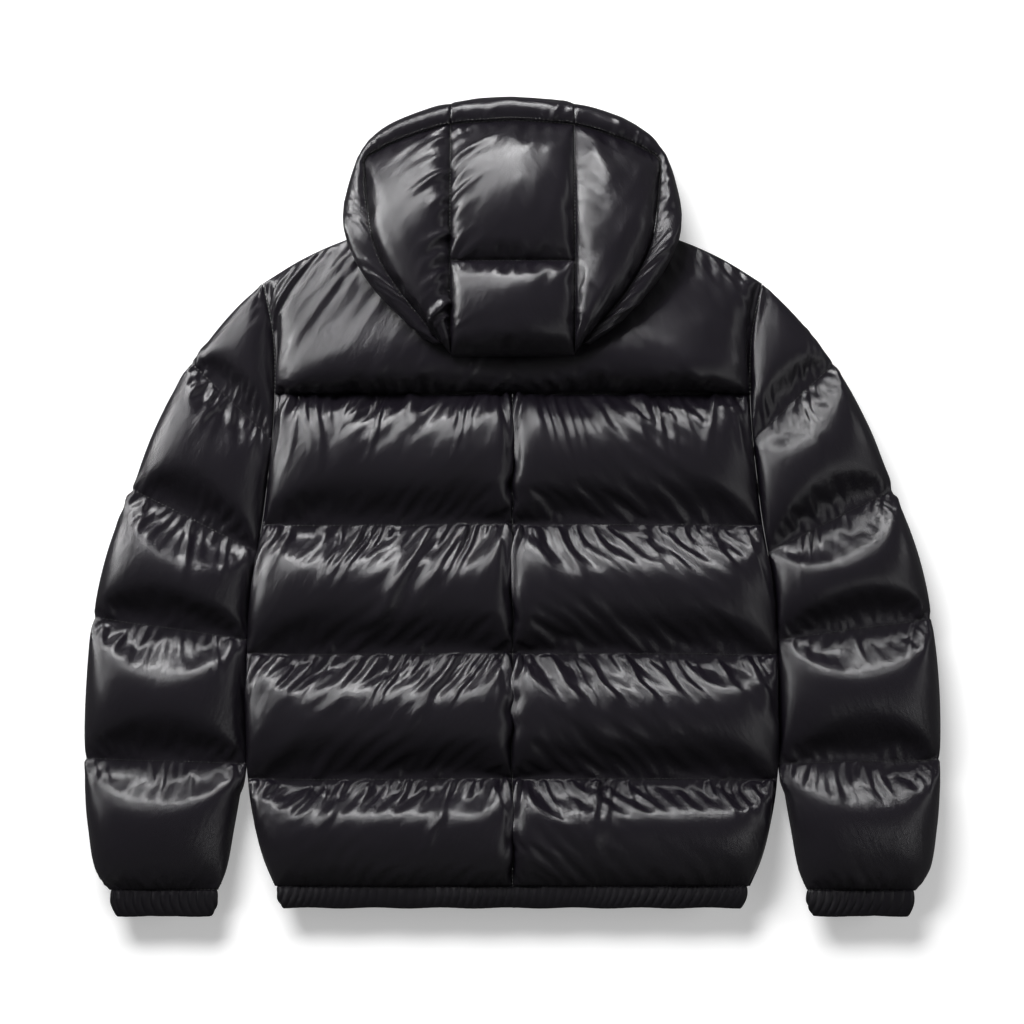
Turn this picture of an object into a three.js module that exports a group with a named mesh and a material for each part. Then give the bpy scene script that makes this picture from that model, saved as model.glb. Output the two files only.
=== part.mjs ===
// Hooded down jacket, closed and laid flat on a table with its back up. Millimetres, +Z up, +Y towards
// the hood, origin on the table under the middle of the jacket. Every padded panel is one wall: an outer
// face that swells between its stitched lines and an inner face that lies on the layer below.
import * as THREE from "three";

// ---- Driving sizes ---------------------------------------------------------------------------------
const MID = 36; // height of the plane where the back lies on the fronts
const LAYER_GAP = 0.45; // half of the space between the two layers
const SEAM_GAP = 0.15; // half of the space between two panels that are sewn together
const ARMHOLE_GAP = 0.4; // the same at the curved armhole, where the panels' facets differ
const PINCH = 3; // wall where a stitched line holds it down
const BACK_LOFT = 36; // wall at the crown of a back channel
const FRONT_LOFT = 44; // the same on the fronts, before the table flattens them
const CENTRE_LOFT = 11; // how far the centre back seam lifts between two stitched lines
const NOTCH = 3; // how far a stitched line draws the side outline in
const ZIP_HALF = 7; // from the centre front to the edge of a front
const SIDE_ROLL = 50; // distance over which a panel rises from its side edge
const CENTRE_ROLL = 26; // the same from the centre back seam
const CHANNEL_STEPS = [0, 0.1, 0.34, 0.66, 0.9, 1]; // rows across one stitched channel

const YOKE_SEAM = 120; // y of the seam under the yoke
const HEM_SEAM = -396.4; // y where the hem band is sewn on
const HEM_EDGE = -419.5; // y of the jacket's lower edge
const CHANNEL_LINES = [HEM_SEAM, -284, -152.8, -17.3, YOKE_SEAM]; // stitched lines of the back and fronts
const SHOULDER_Y = 236; // y of the shoulder point, the top of the armhole

// Half width of the body at each height, from the hem band up the side seam and the armhole.
const BODY_EDGE = [
  { at: -396.4, x: 249.5 },
  { at: -369, x: 260.5 },
  { at: -327, x: 271 },
  { at: -284, x: 278 },
  { at: -243, x: 279.5 },
  { at: -152.8, x: 279 },
  { at: -96, x: 275.5 },
  { at: -46, x: 268 },
  { at: -17.3, x: 263 },
  { at: 30, x: 257 },
  { at: 72, x: 252.5 },
  { at: 120, x: 249.5 },
  { at: 188, x: 252 },
  { at: 236, x: 262 },
];
// Upper edge of the yoke: back neckline, neck point, then the shoulder line. Looked up by |x|.
const BACK_TOP = [
  { at: 0, y: 240 },
  { at: 40, y: 250 },
  { at: 74, y: 276 },
  { at: 92, y: 300 },
  { at: 130, y: 294 },
  { at: 176, y: 281 },
  { at: 221, y: 261 },
  { at: 262, y: 236 },
];
// Upper edge of a front: front neckline, then the same shoulder line.
const FRONT_TOP = [
  { at: 0, y: 210 },
  { at: 40, y: 219 },
  { at: 74, y: 254 },
  ...BACK_TOP.slice(3),
];

// ---- Curves and walls ------------------------------------------------------------------------------
// A smooth value looked up in a table: cubic between rows, with the slope of each row's neighbours.
function lookup(table, at, key) {
  const last = table.length - 1;
  const clamped = Math.min(Math.max(at, table[0].at), table[last].at);
  let i = 0;
  while (i < last - 1 && clamped > table[i + 1].at) i += 1;
  const slope = (k) => {
    const low = table[Math.max(k - 1, 0)];
    const high = table[Math.min(k + 1, last)];
    return (high[key] - low[key]) / (high.at - low.at);
  };
  const span = table[i + 1].at - table[i].at;
  const t = (clamped - table[i].at) / span;
  return (
    table[i][key] * (2 * t ** 3 - 3 * t ** 2 + 1) +
    slope(i) * span * (t ** 3 - 2 * t ** 2 + t) +
    table[i + 1][key] * (3 * t ** 2 - 2 * t ** 3) +
    slope(i + 1) * span * (t ** 3 - t ** 2)
  );
}

const lerp = (a, b, t) => a + (b - a) * t;
const steps = (n, from = 0, to = 1) => Array.from({ length: n + 1 }, (_, k) => lerp(from, to, k / n));
const smooth = (a, b, x) => THREE.MathUtils.smoothstep(x, a, b);
// How full a stitched channel is across its width: 0 on its lines and 1 in the middle.
const channel = (s) => Math.max(0, 1 - (2 * s - 1) ** 2) ** 0.8;
// How far a panel has risen at a distance from its edge, as a quarter of an ellipse.
const roll = (distance, reach) => Math.sqrt(1 - (1 - Math.min(Math.max(distance / reach, 0), 1)) ** 2);

// A closed solid between an outer and an inner face, each a grid [row][column] of Vector3.
// It is turned outwards by the sign of its volume.
function wall(outer, inner, ring = false) {
  const rows = outer.length;
  const columns = outer[0].length;
  const points = [...outer.flat(), ...inner.flat()];
  const id = (face, r, c) => face * rows * columns + r * columns + (c % columns);
  const triangles = [];
  const quad = (a, b, c, d) => triangles.push(a, b, c, a, c, d);
  const spans = ring ? columns : columns - 1;
  for (let r = 0; r < rows - 1; r += 1) {
    for (let c = 0; c < spans; c += 1) {
      quad(id(0, r, c), id(0, r, c + 1), id(0, r + 1, c + 1), id(0, r + 1, c));
      quad(id(1, r, c), id(1, r + 1, c), id(1, r + 1, c + 1), id(1, r, c + 1));
    }
  }
  for (let c = 0; c < spans; c += 1) {
    quad(id(0, 0, c), id(1, 0, c), id(1, 0, c + 1), id(0, 0, c + 1));
    quad(id(0, rows - 1, c), id(0, rows - 1, c + 1), id(1, rows - 1, c + 1), id(1, rows - 1, c));
  }
  for (let r = 0; r < rows - 1 && !ring; r += 1) {
    const end = columns - 1;
    quad(id(0, r, 0), id(0, r + 1, 0), id(1, r + 1, 0), id(1, r, 0));
    quad(id(0, r, end), id(1, r, end), id(1, r + 1, end), id(0, r + 1, end));
  }
  let volume = 0;
  for (let k = 0; k < triangles.length; k += 3) {
    const [a, b, c] = triangles.slice(k, k + 3).map((n) => points[n]);
    volume += a.dot(b.clone().cross(c));
  }
  if (volume < 0) triangles.reverse();
  const geometry = new THREE.BufferGeometry();
  geometry.setAttribute("position", new THREE.Float32BufferAttribute(points.flatMap((p) => p.toArray()), 3));
  geometry.setIndex(triangles);
  return geometry;
}

// ---- Materials -------------------------------------------------------------------------------------
const shell = new THREE.MeshStandardMaterial({ color: 0x17171a, roughness: 0.3, metalness: 0 });
const elastic = new THREE.MeshStandardMaterial({ color: 0x141416, roughness: 0.45, metalness: 0 });
const tape = new THREE.MeshStandardMaterial({ color: 0x101012, roughness: 0.7, metalness: 0 });
const metal = new THREE.MeshStandardMaterial({ color: 0x1c1c1e, roughness: 0.35, metalness: 0.8 });

const jacket = new THREE.Group();
function add(name, geometry, material) {
  const mesh = new THREE.Mesh(geometry, material);
  mesh.name = name;
  jacket.add(mesh);
  return mesh;
}
function addPair(name, geometry, material) {
  add(`${name}_right`, geometry, material);
  add(`${name}_left`, geometry, material).scale.x = -1;
}

// ---- Back and fronts -------------------------------------------------------------------------------
// The rows of a panel: each stitched channel [from, to] cut at CHANNEL_STEPS, with its fullness.
function channelRows(lines) {
  const rows = [];
  for (let k = 0; k < lines.length - 1; k += 1) {
    CHANNEL_STEPS.forEach((s, n) => {
      if (n || !k) rows.push({ at: lerp(lines[k], lines[k + 1], s), full: channel(s) });
    });
  }
  return rows;
}

const bodyHalf = (y, full) => lookup(BODY_EDGE, Math.min(y, SHOULDER_Y), "x") - NOTCH * (1 - full);
const above = (x, y, thickness) => new THREE.Vector3(x, y, MID + LAYER_GAP + thickness);
const below = (x, y, thickness) => new THREE.Vector3(x, y, Math.max(0, MID - LAYER_GAP - thickness));

// A back panel runs from the centre seam to the side seam, and from the hem band to the yoke.
function backPanel(columns) {
  const rows = channelRows([...CHANNEL_LINES.slice(0, -1), YOKE_SEAM - SEAM_GAP]);
  const face = (thick) =>
    rows.map(({ at, full }) => {
      const y = Math.max(at, HEM_SEAM + SEAM_GAP);
      const half = bodyHalf(y, full) - (y > -46 ? ARMHOLE_GAP : 0);
      return steps(columns).map((u) => {
        const x = lerp(SEAM_GAP, half, u);
        const seam = PINCH + CENTRE_LOFT * full * (1 - roll(x, CENTRE_ROLL));
        const crown = BACK_LOFT * full * roll(x, CENTRE_ROLL) * roll(half - x, SIDE_ROLL);
        return above(x, y, thick ? Math.max(PINCH, seam, crown) : 0);
      });
    });
  return wall(face(true), face(false));
}
addPair("back", backPanel(8), shell);

// The yoke runs from armhole to armhole, and from its seam to the neckline and shoulder lines.
function yoke(columns) {
  const face = (thick) =>
    CHANNEL_STEPS.map((s) =>
      columns.map((c) => {
        const top = lookup(BACK_TOP, Math.abs(c) * BODY_EDGE[13].x, "y");
        const y = lerp(YOKE_SEAM + SEAM_GAP, top, s);
        const half = bodyHalf(y, 1) - ARMHOLE_GAP;
        const crown = BACK_LOFT * channel(s) * roll(half * (1 - Math.abs(c)), SIDE_ROLL);
        return above(c * half, y, thick ? Math.max(PINCH, crown) : 0);
      }),
    );
  return wall(face(true), face(false));
}
const YOKE_COLUMNS = [0, 0.14, 0.28, 0.351, 0.5, 0.67, 0.84, 0.95, 1];
add("back_yoke", yoke([...YOKE_COLUMNS.slice(1).reverse().map((c) => -c), ...YOKE_COLUMNS]), shell);

// A front runs from the zip to the side seam, and from the hem band to the neckline and shoulder.
function frontPanel(columns) {
  const body = channelRows(CHANNEL_LINES);
  const top = CHANNEL_STEPS.slice(1).map((s) => ({ share: s, full: channel(s) }));
  const face = (thick) =>
    [...body, ...top].map(({ at, share, full }) =>
      columns.map((c) => {
        const edge = lookup(FRONT_TOP, lerp(ZIP_HALF, BODY_EDGE[13].x, c), "y");
        const y = share === undefined ? Math.max(at, HEM_SEAM + SEAM_GAP) : lerp(YOKE_SEAM, edge, share);
        const half = bodyHalf(y, full) - (y > -46 ? ARMHOLE_GAP : 0);
        const x = lerp(ZIP_HALF, half, c);
        const crown = FRONT_LOFT * full * roll(x - ZIP_HALF, SIDE_ROLL) * roll(half - x, SIDE_ROLL);
        return below(x, y, thick ? Math.max(PINCH, crown) : 0);
      }),
    );
  return wall(face(true), face(false));
}
addPair("front", frontPanel([0, 0.08, 0.25, 0.333, 0.55, 0.8, 0.94, 1]), shell);

// ---- Sleeves ---------------------------------------------------------------------------------------
// A sleeve is one piece of cloth, folded at its outer edge and closed at the underarm. Each whole number
// of "at" is a stitched line; the inner edge follows the armhole as far as line 2, the underarm.
const SLEEVE_OUTER = [
  { at: 0, x: 264, y: 236 },
  { at: 0.35, x: 289, y: 212 },
  { at: 0.7, x: 318, y: 178 },
  { at: 1, x: 338, y: 152 },
  { at: 1.5, x: 373, y: 88 },
  { at: 2, x: 400, y: 20 },
  { at: 2.5, x: 425, y: -48 },
  { at: 3, x: 440, y: -114 },
  { at: 3.5, x: 447, y: -190 },
  { at: 4, x: 449, y: -262 },
  { at: 4.5, x: 445, y: -335 },
  { at: 4.85, x: 436, y: -384 },
  { at: 5, x: 425, y: -400 },
];
const SLEEVE_INNER = [
  { at: 0, x: 259.9, y: 227 },
  { at: 0.25, x: 253.4, y: 195 },
  { at: 0.5, x: 251, y: 160 },
  { at: 0.75, x: 250.1, y: 118 },
  { at: 1, x: 253.1, y: 72 },
  { at: 1.5, x: 258.6, y: 20 },
  { at: 2, x: 269, y: -46 },
  { at: 2.5, x: 276.2, y: -92 },
  { at: 3, x: 280.1, y: -138 },
  { at: 3.5, x: 280.6, y: -205 },
  { at: 4, x: 281.8, y: -268 },
  { at: 4.5, x: 292, y: -335 },
  { at: 4.85, x: 302, y: -384 },
  { at: 5, x: 309, y: -400 },
];
const SLEEVE_LINES = [0, 1, 2, 3, 4, 5];
const SLEEVE_LOFT = 36;
const FOLD_WALL = 4; // wall at the outer fold

function sleeve(columns) {
  const rows = channelRows(SLEEVE_LINES);
  const face = (thick) =>
    rows.map(({ at, full }) => {
      const outer = new THREE.Vector3(lookup(SLEEVE_OUTER, at, "x"), lookup(SLEEVE_OUTER, at, "y"), 0);
      const inner = new THREE.Vector3(lookup(SLEEVE_INNER, at, "x"), lookup(SLEEVE_INNER, at, "y"), 0);
      const width = outer.distanceTo(inner);
      const fold = thick ? 0 : FOLD_WALL / width;
      const draw = (NOTCH * (1 - full)) / width;
      const at_u = (u, side) => {
        const share = lerp(draw + fold, 1, u);
        const p = outer.clone().lerp(inner, share);
        const reach = SIDE_ROLL * 0.95;
        const crown = SLEEVE_LOFT * full * roll(u * width, reach) * roll((1 - u) * width, reach);
        return side(p.x, p.y, thick ? Math.max(PINCH, crown) : 0);
      };
      const across = steps(columns).slice(1);
      const tip = outer.clone().lerp(inner, draw + fold);
      return [
        ...across.toReversed().map((u) => at_u(u, above)),
        new THREE.Vector3(tip.x, tip.y, MID),
        ...across.map((u) => at_u(u, below)),
      ];
    });
  return wall(face(true), face(false));
}
addPair("sleeve", sleeve(6), shell);

// ---- Elastic bands ---------------------------------------------------------------------------------
// A band is a flat loop of cloth over elastic, one column for each step along its top and its underside.
const BAND_WALL = 5.5;
const CUFF_SEAM = SLEEVE_OUTER[12].y - SEAM_GAP;
const CUFF_EDGE = -428.1;

// Height of a band's outer face above its middle plane: it thins to the fold at each end.
const bandHeight = (toFold) => LAYER_GAP + BAND_WALL * Math.min(1, 0.35 + toFold / 12);

const CUFF_ROWS = [
  { y: CUFF_SEAM, from: 309.2, to: 422.8 },
  { y: -413, from: 310.6, to: 421.6 },
  { y: CUFF_EDGE, from: 314.5, to: 417.5 },
];
function cuff(columns) {
  const face = (thick) =>
    CUFF_ROWS.map(({ y, from, to }) => {
      const fold = thick ? 0 : BAND_WALL * 0.6;
      const xs = steps(columns, from + fold, to - fold);
      const height = (x) => (thick ? bandHeight(Math.min(x - from, to - x)) : LAYER_GAP);
      const top = xs.map((x) => new THREE.Vector3(x, y, MID + height(x)));
      const under = xs.map((x) => new THREE.Vector3(x, y, MID - height(x)));
      return [...top, ...under.reverse()];
    });
  return wall(face(true), face(false), true);
}
addPair("cuff", cuff(8), elastic);

// The hem band runs from one side of the zip round the back to the other side.
const HEM_ROWS = [
  { y: HEM_SEAM - SEAM_GAP, half: 247.6 },
  { y: -408, half: 245.5 },
  { y: HEM_EDGE, half: 241.8 },
];

function hemBand(columns) {
  const face = (thick) =>
    HEM_ROWS.map(({ y, half }) => {
      const tip = half - (thick ? 0 : BAND_WALL * 0.6);
      const at = (x, side) =>
        new THREE.Vector3(x, y, MID + side * (thick ? bandHeight(half - Math.abs(x)) : LAYER_GAP));
      const front = steps(columns / 2, ZIP_HALF, tip);
      return [
        ...front.map((x) => at(-x, -1)),
        ...steps(columns, -tip, tip).map((x) => at(x, 1)),
        ...front.toReversed().map((x) => at(x, -1)),
      ];
    });
  return wall(face(true), face(false));
}
add("hem_band", hemBand(16), elastic);

// ---- Hood ------------------------------------------------------------------------------------------
// The hood lies with its face opening down. Its brim stands on the table, climbs over the shoulders and
// ends at the nape. Right half of the brim's outline and of its seam, from the top centre round to there.
const BRIM = [
  { at: 0, x: 0, y: 429, seamX: 0, seamY: 406, seamZ: 56 },
  { at: 1, x: 64.5, y: 423.5, seamX: 64.5, seamY: 401, seamZ: 56 },
  { at: 2, x: 118, y: 407, seamX: 113, seamY: 387, seamZ: 53 },
  { at: 3, x: 145, y: 390, seamX: 140, seamY: 375, seamZ: 51 },
  { at: 4, x: 159, y: 372, seamX: 154, seamY: 364, seamZ: 51 },
  { at: 5, x: 167.5, y: 348, seamX: 153.5, seamY: 340, seamZ: 60 },
  { at: 6, x: 173, y: 314, seamX: 150.5, seamY: 312, seamZ: 74 },
  { at: 7, x: 171.5, y: 286, seamX: 146, seamY: 284, seamZ: 87 },
  { at: 8, x: 159.5, y: 255, seamX: 135, seamY: 254, seamZ: 92 },
  { at: 9, x: 137, y: 222, seamX: 117, seamY: 225, seamZ: 94 },
  { at: 10, x: 106, y: 191, seamX: 93, seamY: 195, seamZ: 93 },
  { at: 11, x: 79.5, y: 170.5, seamX: 73, seamY: 171, seamZ: 88 },
];
const BRIM_CORNER = 4; // where the brim's seam turns from the top of the face opening to its side
const BRIM_END = 11;
const LIFT = { from: 335, to: 292 }; // y where the brim leaves the table and where it is over the shoulder
const YOKE_TOP = MID + LAYER_GAP + BACK_LOFT * channel(CHANNEL_STEPS[2]) + 0.5; // where the hood lies on the yoke
const BRIM_TUCK = 9; // from the outline to the brim's outer foot
const BRIM_FOOT = 28; // from the outline to the brim's inner foot, where it is widest

const rest = (y) => YOKE_TOP * smooth(-LIFT.from, -LIFT.to, -y);
const brimAt = (at) =>
  Object.fromEntries(["x", "y", "seamX", "seamY", "seamZ"].map((key) => [key, lookup(BRIM, at, key)]));

// A section of the brim: a D that stands on its foot, with its back towards the face opening.
function brimSection(at, side) {
  const { x, y, seamX, seamY, seamZ } = brimAt(at);
  const rim = new THREE.Vector3(x * side, y, 0);
  const seam = new THREE.Vector3(seamX * side, seamY, 0);
  const wide = rim.distanceTo(seam);
  const floor = rest(y);
  const tall = seamZ - floor;
  const point = (share, z) => rim.clone().lerp(seam, share).setZ(z);
  const outward = SEAM_GAP / wide;
  return {
    outer: [
      point(1 - outward, seamZ),
      point(0.62, floor + tall * 0.98),
      point(0.22, floor + tall * 0.8),
      point(0, floor + tall * 0.45),
      point(Math.min(BRIM_TUCK, wide * 0.35) / wide, floor),
    ],
    inner: [
      point(1 - outward, seamZ - Math.min(PINCH, tall * 0.3)),
      point(0.98, floor + tall * 0.6),
      point(0.96, floor + tall * 0.4),
      point(0.96, floor + tall * 0.2),
      point(Math.min(BRIM_FOOT, wide * 0.95) / wide, floor),
    ],
  };
}
function brimPiece(stations) {
  const sections = stations.map(({ at, side }) => brimSection(at, side));
  return wall(sections.map((s) => s.outer), sections.map((s) => s.inner));
}
const PANEL_STEPS = [0, 0.06, 0.2, 0.4, 0.6, 0.8, 0.94, 1]; // rows and columns across a hood panel
const END_GAP = 0.004; // the seam gap in units of "at"
const brimCentre = PANEL_STEPS.map((u) => (1 - END_GAP) * (2 * u - 1)).map((at) => ({
  at: Math.abs(at),
  side: Math.sign(at),
}));
add("brim_centre", brimPiece(brimCentre), shell);
const brimSide = [
  ...PANEL_STEPS.map((u) => lerp(1, BRIM_CORNER, u)),
  ...steps(14, BRIM_CORNER, BRIM_END).slice(1),
].map((at) => ({ at: Math.max(at, 1 + END_GAP), side: 1 }));
addPair("brim", brimPiece(brimSide), shell);

// Height of the seam between the hood's centre and its side, looked up by y.
const HOOD_SEAM_X = 64.5;
const HOOD_RIDGE = [
  { at: 158, z: 84 },
  { at: 170, z: 95 },
  { at: 195, z: 103 },
  { at: 225, z: 103 },
  { at: 256, z: 98 },
  { at: 290, z: 98 },
  { at: 330, z: 91 },
  { at: 370, z: 75 },
  { at: 401, z: 56 },
];
const HOOD_CROSS_SEAM = 256; // y of the seam across the centre of the hood
const NAPE_EDGE = 158; // y of the hood's lowest fold
const HOOD_LOFT = 19; // how far a hood panel swells above its seams
const HOOD_WALL = 26; // wall of the swollen hood
const ridge = (y) => lookup(HOOD_RIDGE, y, "z");

// Where the hood's inner face is: one wall under the outer face, but on the yoke behind the neck.
function hoodInner(p, full) {
  const hollow = p.z - lerp(PINCH, HOOD_WALL, full);
  const onYoke = 1 - smooth(262, 304, p.y);
  return new THREE.Vector3(p.x, p.y, lerp(hollow, YOKE_TOP, onYoke));
}

// A hood panel from its four edges, swollen in the middle: a Coons patch with a crown on it.
function hoodPanel(edges, uSteps, vSteps) {
  const { top, bottom, left, right } = edges;
  const outer = [];
  const inner = [];
  for (const v of vSteps) {
    const outerRow = [];
    const innerRow = [];
    for (const u of uSteps) {
      const along = top(u).lerp(bottom(u), v).add(left(v).lerp(right(v), u));
      const corners = top(0).lerp(top(1), u).lerp(bottom(0).lerp(bottom(1), u), v);
      const full = (channel(u) * channel(v)) ** 0.7;
      const p = along.sub(corners);
      p.z += HOOD_LOFT * full;
      outerRow.push(p);
      innerRow.push(hoodInner(p, full));
    }
    outer.push(outerRow);
    inner.push(innerRow);
  }
  return wall(outer, inner);
}
const brimSeam = (at, side = 1) => {
  const { seamX, seamY, seamZ } = brimAt(at);
  return new THREE.Vector3(seamX * side, seamY, seamZ);
};
const inset = (p, dx, dy) => p.add(new THREE.Vector3(dx, dy, 0));

// The centre of the hood: the crown above the cross seam and the nape below it.
const centreX = HOOD_SEAM_X - SEAM_GAP;
const onRidge = (x, y) => new THREE.Vector3(x, y, ridge(y));
const crownEdge = HOOD_CROSS_SEAM + SEAM_GAP;
const crownTop = brimAt(1).seamY - 2 * SEAM_GAP;
const atBrim = (u) => {
  const x = lerp(-centreX, centreX, u);
  return inset(brimSeam(Math.abs(x) / HOOD_SEAM_X, Math.sign(x) || 1), 0, -2 * SEAM_GAP);
};
add("hood_crown", hoodPanel({
  top: atBrim,
  bottom: (u) => onRidge(lerp(-centreX, centreX, u), crownEdge),
  left: (v) => onRidge(-centreX, lerp(crownTop, crownEdge, v)),
  right: (v) => onRidge(centreX, lerp(crownTop, crownEdge, v)),
}, PANEL_STEPS, PANEL_STEPS), shell);

const napeTop = HOOD_CROSS_SEAM - SEAM_GAP;
add("hood_nape", hoodPanel({
  top: (u) => onRidge(lerp(-centreX, centreX, u), napeTop),
  bottom: (u) => onRidge(lerp(-centreX, centreX, u), NAPE_EDGE),
  left: (v) => onRidge(-centreX, lerp(napeTop, NAPE_EDGE, v)),
  right: (v) => onRidge(centreX, lerp(napeTop, NAPE_EDGE, v)),
}, PANEL_STEPS, [0, 0.08, 0.25, 0.45, 0.65, 0.83, 0.95, 1]), shell);

// A side of the hood, between the centre, the brim over the face and the brim beside it.
const sideX = HOOD_SEAM_X + SEAM_GAP;
const sideTip = NAPE_EDGE + 3;
addPair("hood_side", hoodPanel({
  top: (u) => inset(brimSeam(lerp(1, BRIM_CORNER, u)), SEAM_GAP - 0.6 * u, -2 * SEAM_GAP),
  bottom: (u) => new THREE.Vector3(lerp(sideX, 72.4, u), lerp(sideTip, 170.4, u), lerp(ridge(sideTip), 88, u)),
  left: (v) => onRidge(sideX, lerp(crownTop, sideTip, v)),
  right: (v) => inset(brimSeam(lerp(BRIM_CORNER, BRIM_END, v)), -0.45 - 0.15 * v, -0.3 - 0.3 * v),
}, PANEL_STEPS, steps(14)), shell);

// ---- Front zip -------------------------------------------------------------------------------------
// Two tapes meet under the coil at the centre front. The slider is closed at the neck, and its pull hangs
// from the bridge into the groove between the fronts.
const TAPE = { top: 34.5, bottom: 33.3, edge: ZIP_HALF - 2 * SEAM_GAP };
const COIL = { half: 2.6, bottom: 31.3 };
const ZIP_TOP = 207;
const SLIDER = { half: 4.5, tail: 198, nose: 209.9, low: 29.4, lowPlate: 31, highPlate: 34.8, high: 36 };
const CLEAR = 0.3; // between the slider's nose and the end of the zip, and round the pull's bar
const BRIDGE = { y: 201.5, half: 3.5, post: 1.2, top: 0.85, height: 4.45, wall: 1.8 };
const PULL = { half: 3.2, wall: 1.3, length: 24, windowHalf: 1.5, window: 4.5 };
const BRIDGE_TOP = SLIDER.low - SEAM_GAP;
const HINGE_Z = BRIDGE_TOP - BRIDGE.height + BRIDGE.post + CLEAR + PULL.wall / 2; // the pull's bar

const outline = (points) => new THREE.Shape(points.map(([a, b]) => new THREE.Vector2(a, b)));
const extrude = (shape, depth) => new THREE.ExtrudeGeometry(shape, { depth, bevelEnabled: false });
const box = (x0, x1, y0, y1) => outline([[x0, y0], [x1, y0], [x1, y1], [x0, y1]]);

// An (x, z) outline carried along y, from one end of the zip to the other or across the pull's wall.
const alongY = (shape, depth) => extrude(shape, depth).rotateX(Math.PI / 2);
// A (y, z) outline carried along x and centred on the zip.
function acrossX(shape, width) {
  const [x, y, z] = [[1, 0, 0], [0, 1, 0], [0, 0, 1]].map((axis) => new THREE.Vector3(...axis));
  return extrude(shape, width).translate(0, 0, -width / 2).applyMatrix4(new THREE.Matrix4().makeBasis(y, z, x));
}

addPair("zip_tape", alongY(outline([
  [SEAM_GAP, COIL.bottom],
  [COIL.half, COIL.bottom],
  [COIL.half, TAPE.bottom],
  [TAPE.edge, TAPE.bottom],
  [TAPE.edge, TAPE.top],
  [SEAM_GAP, TAPE.top],
]), ZIP_TOP - HEM_EDGE).translate(0, ZIP_TOP, 0), tape);

add("zip_slider", acrossX(outline([
  [SLIDER.tail, SLIDER.low],
  [SLIDER.nose, SLIDER.low],
  [SLIDER.nose, SLIDER.high],
  [SLIDER.tail, SLIDER.high],
  [SLIDER.tail, SLIDER.highPlate],
  [ZIP_TOP + CLEAR, SLIDER.highPlate],
  [ZIP_TOP + CLEAR, SLIDER.lowPlate],
  [SLIDER.tail, SLIDER.lowPlate],
]), 2 * SLIDER.half), metal);

const bridge = box(BRIDGE.y - BRIDGE.half, BRIDGE.y + BRIDGE.half, BRIDGE_TOP - BRIDGE.height, BRIDGE_TOP);
bridge.holes.push(box(
  BRIDGE.y - BRIDGE.half + BRIDGE.post,
  BRIDGE.y + BRIDGE.half - BRIDGE.post,
  BRIDGE_TOP - BRIDGE.height + BRIDGE.post,
  BRIDGE_TOP - BRIDGE.top,
));
add("zip_bridge", acrossX(bridge, BRIDGE.wall), metal);

const pull = box(-PULL.half, PULL.half, -PULL.length, PULL.wall / 2);
pull.holes.push(box(-PULL.windowHalf, PULL.windowHalf, -PULL.wall / 2 - PULL.window, -PULL.wall / 2));
const hanging = alongY(pull, PULL.wall).translate(0, BRIDGE.y + PULL.wall / 2, HINGE_Z);
add("zip_pull", hanging, metal);

export default jacket;
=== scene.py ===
import bpy
import math
import numpy as np
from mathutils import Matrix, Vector


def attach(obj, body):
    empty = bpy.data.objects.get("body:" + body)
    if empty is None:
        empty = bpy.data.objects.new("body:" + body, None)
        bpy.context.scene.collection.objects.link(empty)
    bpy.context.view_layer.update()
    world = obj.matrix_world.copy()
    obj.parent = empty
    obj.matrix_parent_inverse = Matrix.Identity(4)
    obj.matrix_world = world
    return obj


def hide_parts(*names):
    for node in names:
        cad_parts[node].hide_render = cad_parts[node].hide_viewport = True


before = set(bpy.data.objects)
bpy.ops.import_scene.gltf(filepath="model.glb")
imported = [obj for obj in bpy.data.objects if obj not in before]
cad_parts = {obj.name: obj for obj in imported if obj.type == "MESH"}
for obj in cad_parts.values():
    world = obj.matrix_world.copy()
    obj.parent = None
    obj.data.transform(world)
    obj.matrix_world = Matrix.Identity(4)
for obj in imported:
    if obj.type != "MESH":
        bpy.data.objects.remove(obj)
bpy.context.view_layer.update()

# ---- Camera --------------------------------------------------------------------------------------
# The jacket lies on a table and is seen from straight above, far enough away to look flat. The view
# is 1.075 m across at the height of the padding's middle.
VIEW_WIDTH = 1.0752
CAMERA_HEIGHT = 3.2
SENSOR = 36.0
MIDDLE_HEIGHT = 0.038
VIEW_CENTRE = (-0.0005, -0.0037)
lens = bpy.data.cameras.new("camera")
lens.sensor_width = SENSOR
lens.lens = SENSOR * (CAMERA_HEIGHT - MIDDLE_HEIGHT) / VIEW_WIDTH
camera = bpy.data.objects.new("camera", lens)
camera.location = (*VIEW_CENTRE, CAMERA_HEIGHT)
bpy.context.scene.collection.objects.link(camera)
bpy.context.scene.camera = camera

# ---- Back panels ---------------------------------------------------------------------------------
# Two halves of shiny black nylon over down, joined by a seam down the middle of the back. Three stitched
# lines divide each half into channels, that swell like cushions and gather on their seams.
MID = 0.036            # height of the plane where the back lies on the fronts
LAYER_GAP = 0.00045    # half of the space between the two layers
PINCH = 0.003          # padding left under a stitched line
EDGE_PINCH = 0.0022    # how much flatter a panel is right at its edges
LOFT = 0.034           # how high a channel swells above its lines
ARC = 0.95             # half angle of the arc that a channel's cloth makes, in radians
BACK_CHANNELS = 4
YOKE_SEAM = 0.120
CHANNEL_LINES = np.array([-0.3964, -0.284, -0.1528, -0.0173, YOKE_SEAM])       # y, from the hem seam up
BODY_EDGE = np.array([  # y, half width of the body: side seam, then armhole up to the shoulder point
    (-0.3964, 0.2495), (-0.369, 0.2605), (-0.327, 0.271), (-0.284, 0.278), (-0.243, 0.2795),
    (-0.1528, 0.279), (-0.096, 0.2755), (-0.046, 0.268), (-0.0173, 0.263), (0.030, 0.257),
    (0.072, 0.2525), (0.120, 0.2495), (0.188, 0.252), (0.236, 0.262),
])


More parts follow.
